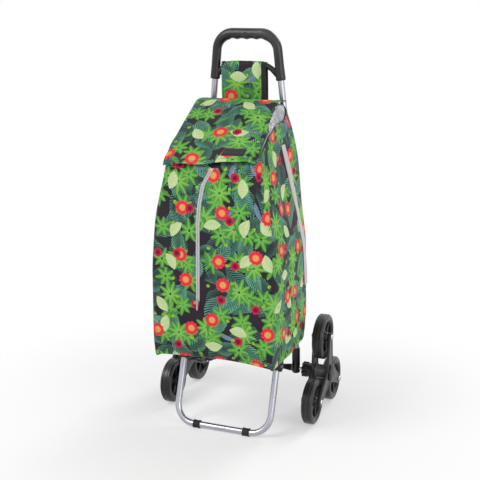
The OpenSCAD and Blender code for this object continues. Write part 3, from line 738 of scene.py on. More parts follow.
class TubeRun:
    """A tube that grows from a ring, one straight or bend after another; sizes in millimetres."""

    def __init__(self, radius: float, at: Matrix, sides: int = 40) -> None:
        """Starts a tube.

        Args:
            radius: its outer radius.
            at: its first ring's place, with z along the tube and x towards the inside of its bends.
            sides: faces round it.
        """
        self.bm = bmesh.new()
        self.at = at.copy()
        ring = bmesh.ops.create_circle(self.bm, cap_ends=False, radius=radius * MM, segments=sides, matrix=at)
        self.verts = ring["verts"]
        self.edges = self.bm.edges[:]
        bmesh.ops.contextual_create(self.bm, geom=self.edges)

    def close(self) -> None:
        """Closes the tube at the ring it has reached, and turns its faces outwards."""
        bmesh.ops.contextual_create(self.bm, geom=self.edges)
        face_out(self.bm)

    def straight(self, length: float, pieces: int = 6) -> "TubeRun":
        """Grows a straight stretch."""
        for _ in range(pieces):
            self.keep(bmesh.ops.extrude_edge_only(self.bm, edges=self.edges)["geom"])
            step = self.at.to_3x3() @ Vector((0, 0, length * MM / pieces))
            bmesh.ops.translate(self.bm, verts=self.verts, vec=step)
            self.at = Matrix.Translation(step) @ self.at
        return self

    def bend(self, angle: float, radius: float, pieces: int) -> "TubeRun":
        """Grows a bend towards the tube's own x."""
        centre = self.at @ Vector((radius * MM, 0, 0))
        axis = self.at.to_3x3() @ Vector((0, 1, 0))
        ring = [*self.verts, *self.edges]
        spun = bmesh.ops.spin(self.bm, geom=ring, cent=centre, axis=axis, angle=angle, steps=pieces)
        self.keep(spun["geom_last"])
        turn = Matrix.Translation(centre) @ Matrix.Rotation(angle, 4, axis) @ Matrix.Translation(-centre)
        self.at = turn @ self.at
        return self

    def keep(self, geometry: Sequence[object]) -> None:
        """Remembers the ring that the tube has reached."""
        self.verts, self.edges = picked(geometry, Vert), picked(geometry, Edge)


@dataclass
class Section:
    """One section of a moulded bar.

    centre: its middle
    out: direction of its outer side
    across: direction of its depth
    outer, inner: reach from the middle to its outer and inner sides
    deep: half of its depth
    """

    centre: Vector
    out: Vector
    across: Vector
    outer: float
    inner: float
    deep: float

    def point(self, angle: float) -> Vector:
        """The point at an angle from the outer side."""
        reach = self.outer if cos(angle) > 0 else self.inner
        return self.centre + self.out * (cos(angle) * reach) + self.across * (sin(angle) * self.deep)


def grown(sides: int, rows: int, shape: Callable[[int, int], Vector], capped: bool) -> Mesh:
    """Grows a ring row by row.

    Args:
        sides: points in the ring.
        rows: how many rows of points.
        shape: gives the point of a column and a row.
        capped: whether both ends are closed.

    Returns:
        The mesh, whose points know their column and level.
    """
    bm = bmesh.new()
    column, level = (bm.verts.layers.int.new(name) for name in ("column", "level"))
    verts = bmesh.ops.create_circle(bm, cap_ends=capped, radius=1.0, segments=sides)["verts"]
    for number, vert in enumerate(verts):
        vert[column] = number
    edges = bm.edges[:]
    for row in range(rows):
        if row:
            made = bmesh.ops.extrude_edge_only(bm, edges=edges)["geom"]
            verts, edges = picked(made, Vert), picked(made, Edge)
        for vert in verts:
            vert[level] = row
            vert.co = shape(vert[column], row)
    if capped:
        bmesh.ops.contextual_create(bm, geom=edges)
    return bm


def moulded_bar(sections: Sequence[Section], sides: int = 32) -> Mesh:
    """Extrudes a ring through a row of sections and closes its ends."""
    bm = grown(sides, len(sections), lambda mark, row: sections[row].point(tau * mark / sides), True)
    for name in ("column", "level"):
        bm.verts.layers.int.remove(bm.verts.layers.int[name])
    face_out(bm)
    return bm


def curve_through(points: Sequence[Vector], pieces: int) -> list[Vector]:
    """A smooth curve through points, with some pieces between each two."""
    path: list[Vector] = []
    for i in range(len(points) - 1):
        a, b, c, d = (points[max(0, min(len(points) - 1, i + k))] for k in (-1, 0, 1, 2))
        for k in range(pieces):
            t = k / pieces
            bend = (2 * a - 5 * b + 4 * c - d) * t * t + (3 * b - a - 3 * c + d) * t**3
            path.append(0.5 * (2 * b + (c - a) * t + bend))
    return [*path, points[-1].copy()]


def laid(columns: int, rows: int, shape: Shape, size: Point = (1.0, 1.0), cloth_from: Point = (0, 0)) -> Mesh:
    """Lays a grid on a shape.

    Args:
        columns: faces across.
        rows: faces along.
        shape: gives the point for two shares from 0 to 1, across and along.
        size: width and length of the cloth, in metres.
        cloth_from: where its first corner lies on the roll.

    Returns:
        The laid grid, with its cloth coordinates.
    """
    bm = bmesh.new()
    bmesh.ops.create_grid(bm, x_segments=columns, y_segments=rows, size=1.0)
    cloth = bm.loops.layers.uv.new(CLOTH_UV)
    for face in bm.faces:
        for loop in face.loops:
            u, v = (loop.vert.co.x + 1) / 2, (loop.vert.co.y + 1) / 2
            loop[cloth].uv = (cloth_from[0] + u * size[0], cloth_from[1] + v * size[1])
    for vert in bm.verts:
        vert.co = shape((vert.co.x + 1) / 2, (vert.co.y + 1) / 2)
    bm.normal_update()
    return bm


def raised(shape: Shape, u: float, v: float, lift: float) -> Vector:
    """The point that stands a lift off a shape."""
    step = 0.002
    across = shape(u + step, v) - shape(u - step, v)
    along = shape(u, v + step) - shape(u, v - step)
    return shape(u, v) + across.cross(along).normalized() * lift


@dataclass
class Stitches:
    """Rows of thread stitches in one mesh; sizes in millimetres."""

    pitch: float = 4.2
    length: float = 2.8
    radius: float = 0.32
    bm: Mesh = field(default_factory=bmesh.new)

    def row(self, path: Sequence[Vector]) -> None:
        """Sews along a path of points in metres."""
        pitch = self.pitch * MM
        left = pitch / 2
        for a, b in zip(path, path[1:]):
            run = (b - a).length
            if run < 1e-7:
                continue
            turn = (b - a).to_track_quat("Z", "Y").to_matrix().to_4x4()
            while left < run:
                rod(self.bm, 5, self.radius, self.length, Matrix.Translation(a.lerp(b, left / run)) @ turn)
                left += pitch
            left -= run

    def on(self, shape: Shape, points: Sequence[Point], lift: float) -> None:
        """Sews along a path of shares on a shape."""
        self.row([raised(shape, u, v, lift) for u, v in points])


def rod(bm: Mesh, sides: int, radius: float, length: float, at: Matrix) -> None:
    """Adds a short rod along its place's z; sizes in millimetres."""
    radii = {"radius1": radius * MM, "radius2": radius * MM}
    bmesh.ops.create_cone(bm, cap_ends=True, segments=sides, depth=length * MM, matrix=at, **radii)


@dataclass(frozen=True)
class Cloth:
    """The thickness of a piece of cloth.

    wall: how thick it is, in millimetres
    offset: the side of the modelled face that the thickness goes to
    inner, rim: added to a face's material number on its other side and on the edge
    levels: subdivisions
    """

    wall: float
    offset: float = -1.0
    inner: int = 0
    rim: int = 0
    levels: int = 0

    def thicken(self, piece: Piece) -> None:
        """Gives a piece its thickness and its finer faces."""
        solid = piece.modifiers.new("wall", "SOLIDIFY")
        solid.thickness, solid.offset = self.wall * MM, self.offset
        solid.material_offset, solid.material_offset_rim = self.inner, self.rim
        if self.levels:
            finer = piece.modifiers.new("finer", "SUBSURF")
            finer.levels = finer.render_levels = self.levels


def finish_piece(
    name: str,
    bm: Mesh,
    materials: Sequence[Material],
    body: str,
    slot: Slot,
    replaces: Sequence[str] = (),
    smooth: float = 32.0,
    cloth: Cloth | None = None,
) -> Piece:
    """Turns a mesh into a piece of the trolley.

    Args:
        name: the piece's name.
        bm: its mesh, which is used up.
        materials: in the order that its faces number them.
        body: the body it moves with.
        slot: not used.
        replaces: CAD nodes that it stands for.
        smooth: edges stay sharp above this many degrees.
        cloth: the thickness of a cloth.

    Returns:
        The new object.
    """
    mesh = bpy.data.meshes.new(name)
    bm.to_mesh(mesh)
    bm.free()
    mesh.polygons.foreach_set("use_smooth", [True] * len(mesh.polygons))
    mesh.set_sharp_from_angle(angle=radians(smooth))
    for material in materials:
        mesh.materials.append(material)
    piece = bpy.data.objects.new(name, mesh)
    bpy.context.scene.collection.objects.link(piece)
    if cloth:
        cloth.thicken(piece)
    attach(piece, body)
    if replaces:
        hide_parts(*replaces)
    LOG.info("%s: %d faces on %s", name, len(mesh.polygons), body)
    return piece


def stand_in(
    name: str, bm: Mesh, finish: Material, body: str, slot: Slot, at: Matrix | None = None, smooth: float = 32.0
) -> None:
    """Makes a mesh the piece that stands for one CAD node.

    Args:
        name: the node's name with one word more.
        bm: the mesh, which is used up.
        finish: its material.
        body: the body it moves with.
        slot: not used.
        at: its place, unless it's there.
        smooth: edges stay sharp above this many degrees.
    """
    if at is not None:
        bmesh.ops.transform(bm, matrix=at, verts=bm.verts)
    finish_piece(name, bm, [finish], body, slot, [name.rpartition("_")[0]], smooth)


def dress(finish: Material, *nodes: str) -> None:
    """Gives CAD nodes whose shape stays a better material."""
    for node in nodes:
        mesh = frame["nodes"][node].data
        mesh.materials.clear()
        mesh.materials.append(finish)


def quarter(axis: str) -> Matrix:
    """A quarter turn round an axis."""
    return Matrix.Rotation(pi / 2, 4, axis)


def shifted(x: float, y: float, z: float) -> Matrix:
    """A shift in millimetres."""
    return Matrix.Translation(Vector((x, y, z)) * MM)


def outward(side: Side, at: Vector) -> Matrix:
    """A place whose z points away from the trolley's middle."""
    return Matrix.Translation(at) @ Matrix.Rotation(side.value * pi / 2, 4, "Y")


FRAME = Matrix.Translation(AXLE) @ Matrix.Rotation(LEAN, 4, "X")


# ---- wheels and frame ----


@dataclass
class Wheel:
    """One wheel: a rubber tyre with two tread grooves on a dished rim with ribs; sizes in millimetres."""

    finishes: Finishes
    side: Side
    spot: str
    seat: float = 43.0
    hub: float = 12.0
    bore: float = 4.1
    ribs: int = 5
    rib_half: float = 2.2
    rib_in: float = 4.6
    web: float = 2.5

    def __post_init__(self) -> None:
        """Takes the wheel's place and size from its CAD tyre."""
        self.name = f"{self.side.word}_{self.spot}"
        low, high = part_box(f"tyre_{self.name}")
        self.radius, self.half = (high.y - low.y) / 2 / MM, (high.x - low.x) / 2 / MM
        self.at = outward(self.side, (low + high) / 2)

    def tyre(self) -> None:
        """Makes the tyre."""
        h, r, s = self.half, self.radius, self.seat
        half = [(2 - h, s, 0.5), (-h, s + 2, 1.2), (-h, s + 5.6, 0.5), (0.9 - h, s + 6.4, 0.3), (0.9 - h, s + 7.2, 0.3)]
        half += [(0.2 - h, s + 8, 0.6), (0.9 - h, r - 3.4, 2), (4 - h, r, 3), (-6.1, r, 0.4), (-5.6, r - 0.9, 0.3)]
        half += [(-4.8, r - 0.9, 0.3), (-4.3, r, 0.4)]
        bm = lathed(mirrored(half), 96, True, 3)
        stand_in(f"tyre_{self.name}_rubber", bm, self.finishes.tyre, f"wheel_{self.name}", Slot.TYRE, self.at)

    def rim(self) -> None:
        """Makes the rim."""
        h, s = self.half, self.seat - 0.05
        half = [(2 - h, s, 0.4), (2 - h, s - 2.6, 1), (3.4 - h, s - 3.8, 0.8), (-self.web, s - 5, 2.2)]
        half += [(-self.web, self.hub + 1.2, 1.5), (-h - 1, self.hub - 0.8, 0.8), (-h - 1, self.bore, 0.3)]
        bm = lathed(mirrored(half), 72, True, 3)
        long = h - self.rib_in
        for k in range(self.ribs):
            rib = slab((-long, -self.rib_half, self.hub - 1), (long, self.rib_half, s - 3.5), 0.7)
            absorb(bm, rib, Matrix.Rotation(tau * k / self.ribs, 4, "Z") @ quarter("Y"))
        stand_in(f"rim_{self.name}_moulded", bm, self.finishes.black, f"wheel_{self.name}", Slot.BLACK, self.at)


@dataclass
class Cluster:
    """Three wheels between two three-armed plates, on a ribbed core; sizes in millimetres."""

    finishes: Finishes
    side: Side
    root: float = 23.0
    tip: float = 11.5
    crotch: float = 9.0
    flats: float = 36.0
    flange: float = 3.2
    teeth: int = 9
    tooth: float = 6.0
    tooth_tip: float = 20.0
    tooth_root: float = 15.5
    barrel: float = 18.5
    collar: float = 14.5
    head: float = 6.4
    socket: float = 2.5

    def __post_init__(self) -> None:
        """Finds the wheels round the axle."""
        self.word = self.side.word
        self.at = outward(self.side, AXLE)
        self.spots = [Vector((0, *(middle(f"tyre_{self.word}_{spot}") - AXLE).yz)) for spot in SPOTS]
        self.reach = self.spots[0].z / MM

    def span(self, node: str) -> tuple[float, float]:
        """Where a CAD node starts and ends, out from the trolley's middle."""
        low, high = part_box(f"{node}_{self.word}")
        return min(abs(low.x), abs(high.x)) / MM, max(abs(low.x), abs(high.x)) / MM

    def keep(
        self, node: str, ending: str, bm: Mesh, out: float, finish: Material, slot: Slot, smooth: float = 32.0
    ) -> None:
        """Makes a mesh the piece that stands for a node of the cluster.

        Args:
            node: the node's name, without its side.
            ending: the end of the piece's name.
            bm: the mesh, which is used up.
            out: how far out from the trolley's middle it starts.
            finish: its material.
            slot: not used.
            smooth: edges stay sharp above this many degrees.
        """
        name, body, at = f"{node}_{self.word}_{ending}", f"cluster_{self.word}", self.at @ shifted(0, 0, out)
        stand_in(name, bm, finish, body, slot, at, smooth)

    def lay(self, points: Sequence[Corner]) -> list[Corner]:
        """Turns points in y and z into the plane across the axle."""
        return [(-self.side.value * z, y, r) for y, z, r in points]

    def arms(self) -> list[Corner]:
        """The corners of a three-armed plate."""
        lean = acos((self.root - self.tip) / self.reach)
        corners: list[Corner] = []
        for spot in (90, 210, 330):
            angle = radians(spot)
            cy, cz = self.reach * cos(angle), self.reach * sin(angle)
            for k in range(15):
                a = angle + lean * (k / 7 - 1)
                corners.append((cy + self.tip * cos(a), cz + self.tip * sin(a), 0.0))
            a = angle + pi / 3
            inner = self.root / cos(lean - pi / 3)
            corners.append((inner * cos(a), inner * sin(a), self.crotch))
        return self.lay(corners)

    def plates(self) -> None:
        """Makes the two plates, each with a sunk panel on its outer face."""
        for node in ("inner_plate", "outer_plate"):
            start, end = self.span(node)
            bm = plate(self.arms(), 8, end - start, 1.3, 2.6, 0.9)
            self.keep(node, "moulded", bm, start, self.finishes.arm, Slot.ARM, 28)

    def bearing(self) -> None:
        """Makes the six-sided bearing block with a flange at each end."""
        start, end = self.span("bearing_block")
        long, lip = end - start, self.flange
        bm = bmesh.new()
        waist = (self.flats - 1.6, 2.4, lip - 0.2, long - lip + 0.2)
        for flats, soft, low, high in ((self.flats, 3.0, 0.0, lip), waist, (self.flats, 3.0, long - lip, long)):
            reach = flats / sqrt(3)
            turns = [radians(30 + 60 * k) for k in range(6)]
            corners = [(reach * cos(a), reach * sin(a), soft) for a in turns]
            part = plate(self.lay(corners), 5, high - low, 0.5)
            absorb(bm, part, shifted(0, 0, low))
        self.keep("bearing_block", "moulded", bm, start, self.finishes.block, Slot.BLOCK)

    def core(self) -> None:
        """Makes the toothed collar and the barrel behind it."""
        start, end = self.span("cluster_core")
        tip, root, b, c, long = self.tooth_tip, self.tooth_root, self.barrel, self.collar, end - start
        corners: list[Corner] = []
        for k in range(self.teeth):
            a = tau * k / self.teeth
            for radius, half in ((root, -1.15), (tip, -0.9), (tip, 0.9), (root, 1.15)):
                off = a + half * self.tooth / 2 / radius
                corners.append((radius * cos(off), radius * sin(off), 1.0))
        bm = plate(corners, 3, c, 0.6)
        profile = [(c - 0.5, 0, 0), (c - 0.5, b, 0.6), (c + 2.4, b, 0.5), (c + 3, b - 0.8, 0.4)]
        profile += [(long - 2.6, b - 0.8, 0.4), (long - 2, b, 0.5), (long, b, 0.3), (long, 0, 0)]
        absorb(bm, lathed(profile, soft=3))
        self.keep("cluster_core", "moulded", bm, start, self.finishes.black, Slot.BLACK)

    def cap(self) -> None:
        """Makes the domed cap over the axle's end."""
        start, end = self.span("hub_cap")
        low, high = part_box(f"hub_cap_{self.word}")
        rise, r = end - start, (high.y - low.y) / 2 / MM
        profile = [(0.05, 0, 0), (0.05, r - 0.7, 0.3), (0.8, r, 0.4), (rise - 3.4, r, 2.4), (rise - 0.7, r - 4.5, 5)]
        profile += [(rise, r * 0.42, 2), (rise, 6.6, 0.4), (rise - 0.7, 6, 0.3), (rise - 0.7, 0, 0)]
        self.keep("hub_cap", "domed", lathed(profile, 72, soft=5), start, self.finishes.black, Slot.BLACK)

    def bolts(self) -> None:
        """Makes the three wheel bolts, with round heads and six-sided sockets."""
        start, end = self.span("wheel_bolts")
        seat = self.span("outer_plate")[1]
        tail, rise, head, socket = start - seat, end - seat, self.head, self.socket
        profile = [(tail, 0, 0), (tail, 3.2, 0), (tail + 0.8, 3.95, 0), (0, 3.95, 0), (0, head, 0.3), (1.2, head, 0.8)]
        profile += [(rise - 0.9, head - 1.2, 1.2), (rise, head - 2.6, 0.8), (rise, socket, 0)]
        profile += [(rise - 2, socket, 0), (rise - 2, 0, 0)]
        bm, turn = bmesh.new(), self.at.to_3x3().inverted()
        for spot in self.spots:
            part = lathed(profile, 36)
            for vert in part.verts:
                if abs(vert.co.xy.length - socket * MM) < 1e-6:
                    sector = atan2(vert.co.y, vert.co.x) % (pi / 3) - pi / 6
                    vert.co.xy *= cos(pi / 6) / cos(sector) * 1.12
            absorb(bm, part, Matrix.Translation(turn @ spot))
        self.keep("wheel_bolts", "domed", bm, seat, self.finishes.steel, Slot.STEEL, 40)

    def build(self) -> None:
        """Makes the whole cluster."""
        for wheel in [Wheel(self.finishes, self.side, spot) for spot in SPOTS]:
            wheel.tyre()
            wheel.rim()
        self.plates()
        self.bearing()
        self.core()
        self.cap()
        self.bolts()
        dress(self.finishes.steel, f"wheel_nuts_{self.word}")


@dataclass
class FrameTubes:
    """The two uprights, their foot sleeves, the axle and the bag's carrier; sizes in millimetres."""

    finishes: Finishes
    tube: float = 8.0
    bend_up: float = 390.0
    bend: float = 150.0
    grip_up: float = 748.0
    grip_half: float = 86.5
    into_grip: float = 26.0
    below: float = 10.0
    sleeve: float = 10.5
    sleeve_low: float = -12.0
    sleeve_high: float = 58.0
    sleeve_step: float = 6.0

    def __post_init__(self) -> None:
        """Takes the width between the uprights from the sleeves."""
        self.half = middle("sleeve_right").x / MM
        self.splay = atan((self.half - self.grip_half) / (self.grip_up - self.bend_up))
        self.run = self.bend * tan(self.splay / 2)

    def upright(self, side: Side) -> None:
        """Makes one upright."""
        facing = Matrix.Rotation(pi if side is Side.RIGHT else 0.0, 4, "Z")
        at = FRAME @ shifted(side.value * self.half, 0, -self.below) @ facing
        tube = TubeRun(self.tube, at)
        upper = (self.grip_up - self.bend_up) / cos(self.splay) - self.run
        tube.straight(self.below + self.bend_up - self.run, 12).bend(self.splay, self.bend, 6)
        tube.straight(upper + self.into_grip, 12).close()
        stand_in(f"upright_{side.word}_tube", tube.bm, self.finishes.tube, "frame", Slot.TUBE)

    def foot_sleeve(self, side: Side) -> None:
        """Makes the moulded sleeve on an upright's foot."""
        r, low, high, step, bore = self.sleeve, self.sleeve_low, self.sleeve_high, self.sleeve_step, self.tube + 0.06
        profile = [(low, 0, 0), (low, r - 0.2, 3), (-step - 0.6, r, 0.3), (-step, r - 0.5, 0.3), (step, r - 0.5, 0.3)]
        profile += [(step + 0.6, r, 0.3), (high - 3, r, 0.6), (high - 2.4, r - 0.6, 0.4), (high, r - 0.6, 0.8)]
        profile += [(high, bore, 0.3), (high - 6, bore, 0), (high - 6, 0, 0)]
        at = FRAME @ shifted(side.value * self.half, 0, 0)
        stand_in(f"sleeve_{side.word}_moulded", lathed(profile), self.finishes.black, "frame", Slot.BLACK, at)

    def build(self) -> None:
        """Makes the frame, and dresses the parts whose CAD shape stays."""
        for side in Side:
            self.upright(side)
            self.foot_sleeve(side)
            dress(self.finishes.black, f"support_arm_{side.word}", f"hinge_block_{side.word}")
        dress(self.finishes.steel, "axle", "axle_retainers", "stand_pins")
        dress(self.finishes.black, "bag_rest")
        dress(self.finishes.board, "base_board")


@dataclass
class Stand:
    """The bent tube that the trolley stands on, with its two rubber feet; sizes in millimetres."""

    finishes: Finishes
    tube: float = 8.0
    lean: float = radians(20)
    half: float = 124.0
    corner: float = 48.0
    top: float = 6.0
    foot: float = 10.5
    foot_bar_up: float = 10.0

    def __post_init__(self) -> None:
        """Hangs the stand on its pivot."""
        pivot = joint("stand_fold")
        self.at = Matrix.Translation(pivot) @ Matrix.Rotation(-self.lean, 4, "X")
        self.leg = (pivot.z / MM - self.foot_bar_up) / cos(self.lean)

    def bent_tube(self) -> None:
        """Makes the bent tube."""
        start = self.at @ shifted(self.half, 0, self.top) @ Matrix.Rotation(pi, 4, "Y")
        side, quarter = self.leg - self.corner + self.top, pi / 2
        tube = TubeRun(self.tube, start).straight(side, 6).bend(quarter, self.corner, 18)
        tube.straight(2 * (self.half - self.corner), 8).bend(quarter, self.corner, 18).straight(side, 6).close()
        finish_piece("stand_bent_tube", tube.bm, [self.finishes.tube], "stand", Slot.TUBE, ["stand_tube"])

    def rubber_foot(self, side: Side) -> None:
        """Makes one foot, worn flat where it stands."""
        low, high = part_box(f"foot_{side.word}")
        h, r = (high.x - low.x) / 2 / MM, self.foot
        half = [(-h, self.tube + 0.05, 0.2), (-h, r, 0.9), (2.6 - h, r, 0.6), (3.3 - h, r - 0.7, 0.5)]
        bm = lathed(mirrored(half), 56, True, 3)
        place = self.at @ Matrix.Translation(((low.x + high.x) / 2, 0, -self.leg * MM))
        bmesh.ops.transform(bm, matrix=place @ quarter("Y"), verts=bm.verts)
        everything, ground = [*bm.verts, *bm.edges, *bm.faces], (0, 0, 0.01 * MM)
        cut = bmesh.ops.bisect_plane(bm, geom=everything, plane_co=ground, plane_no=(0, 0, -1), clear_outer=True)
        bmesh.ops.holes_fill(bm, edges=picked(cut["geom_cut"], Edge), sides=0)
        stand_in(f"foot_{side.word}_rubber", bm, self.finishes.foot, "stand", Slot.FOOT)

    def build(self) -> None:
        """Makes the stand."""
        self.bent_tube()
        for side in Side:
            self.rubber_foot(side)


@dataclass
class Grip:
    """The moulded hand grip: two legs, two corners, a bar with finger rests and a cross bar."""

    finishes: Finishes
    up: float = 748.0
    half: float = 86.5
    leg: float = 11.25
    bar: float = 13.5
    bar_up: float = 113.5
    corner: float = 42.0
    finger: float = 26.0
    dip: float = 2.2
    pitch: float = 25.0
    leg_end: float = 4.0
    cross: float = 6.8
    cross_path: Table = ((0, 40), (22, 40), (40, 39.6), (52, 37), (62, 31.5), (72, 23.5), (83.5, 14))

    def at(self, x: float, up: float, y: float = 0.0) -> Vector:
        """A point in the grip's own plane, in millimetres, as a point in the row frame."""
        return on_frame(x * MM, y * MM, (self.up + up) * MM)

    def way(self, x: float, up: float) -> Vector:
        """A direction in the grip's own plane."""
        return (self.at(x, up) - self.at(0, 0)).normalized()

    def rest(self, x: float) -> float:
        """Depth of the finger rests under the bar at x."""
        near = min(abs(abs(x) - self.pitch * k) for k in (0.5, 1.5))
        return max(0.0, self.dip - near * near / (2 * self.finger))

    def section(self, x: float, up: float, out: Vector, swell: float, scale: float = 1.0) -> Section:
        """One section of the bent bar; swell goes from 0 on the legs to 1 on the bar."""
        thick = self.leg + (self.bar - self.leg) * swell
        deep = self.leg + 1.1 * swell
        across = self.at(0, 0, 1) - self.at(0, 0)
        inner = thick - self.rest(x) * blend_in(swell, 0.2, 0.8)
        place = self.at(x, up)
        return Section(place, out, across.normalized(), thick * scale * MM, inner * scale * MM, deep * scale * MM)

    def half_loop(self) -> list[Section]:
        """The sections from a leg's lower end to the middle of the bar."""
        splay = atan((middle("sleeve_right").x / MM - self.half) / (self.up - 390.0))
        corner_up = self.bar_up - self.corner * (1 - sin(splay))
        length = corner_up / cos(splay)
        corner_x = self.half - corner_up * tan(splay)
        bar_half = corner_x - self.corner * cos(splay)
        out = self.way(cos(splay), sin(splay))
        ends = ((0, 0.86), (0, 0.99), (0.5, 1.04), (1.6, 1.07), (8, 1.07), (12, 1.05))
        legs = [(self.leg_end + run, scale) for run, scale in ends]
        legs += [(run, 1 + 0.045 * blend_in(run, 40, 17)) for run in (17 + (length - 17) * k / 17 for k in range(17))]
        sections = [self.section(self.half - run * sin(splay), run * cos(splay), out, 0, scale) for run, scale in legs]
        for k in range(25):
            t = k / 24
            angle = splay + (pi / 2 - splay) * t
            x = bar_half + self.corner * cos(angle)
            rise = self.bar_up - self.corner * (1 - sin(angle))
            sections.append(self.section(x, rise, self.way(cos(angle), sin(angle)), blend_in(t, 0, 1)))
        for k in range(1, 29):
            sections.append(self.section(bar_half * (1 - k / 28), self.bar_up, self.way(0, 1), 1.0))
        return sections

    def cross_sections(self) -> list[Section]:
        """The sections of the cross bar, from leg to leg."""
        half = [Vector((x, 0, up)) for x, up in self.cross_path]
        points = [Vector((-p.x, 0, p.z)) for p in reversed(half)] + half[1:]
        path = curve_through(points, 5)
        across = (self.at(0, 0, 1) - self.at(0, 0)).normalized()
        sections = []
        for k, p in enumerate(path):
            ahead = path[min(k + 1, len(path) - 1)] - path[max(k - 1, 0)]
            thick = self.cross + 2.6 * blend_in(abs(p.x), 60, 84)
            out = self.way(-ahead.z, ahead.x)
            sections.append(Section(self.at(p.x, p.z), out, across, thick * MM, thick * MM, self.cross * MM))
        return sections

    def build(self) -> None:
        """Makes the grip."""
        right = self.half_loop()
        left = []
        for s in reversed(right[:-1]):
            centre, out = s.centre.copy(), s.out.copy()
            centre.x, out.x = -centre.x, -out.x
            left.append(Section(centre, out, s.across, s.outer, s.inner, s.deep))
        bm = moulded_bar([*right, *left], sides=36)
        absorb(bm, moulded_bar(self.cross_sections(), sides=28))
        plug = [(0, 0, 0), (0, 2.9, 0.3), (1.4, 2.9, 0.5), (1.4, 1.9, 0.3), (0.6, 1.4, 0.2), (0.6, 0, 0)]
        at = Matrix.Translation(self.at(0, self.bar_up + 2.0, -self.leg - 0.3)) @ quarter("X")
        absorb(bm, lathed(plug, 32, soft=3), at)
        finish_piece("hand_grip", bm, [self.finishes.grip], "frame", Slot.GRIP, ["handle_grip"], smooth=50)


# ---- bag ----


def eased(value: float, table: Sequence[Point], reach: float) -> float:
    """Reads a table with its corners rounded over a reach to each side."""
    return sum(w * lookup(value + k * reach / 2, table) for k, w in ((-2, 1), (-1, 2), (0, 3), (1, 2), (2, 1))) / 9


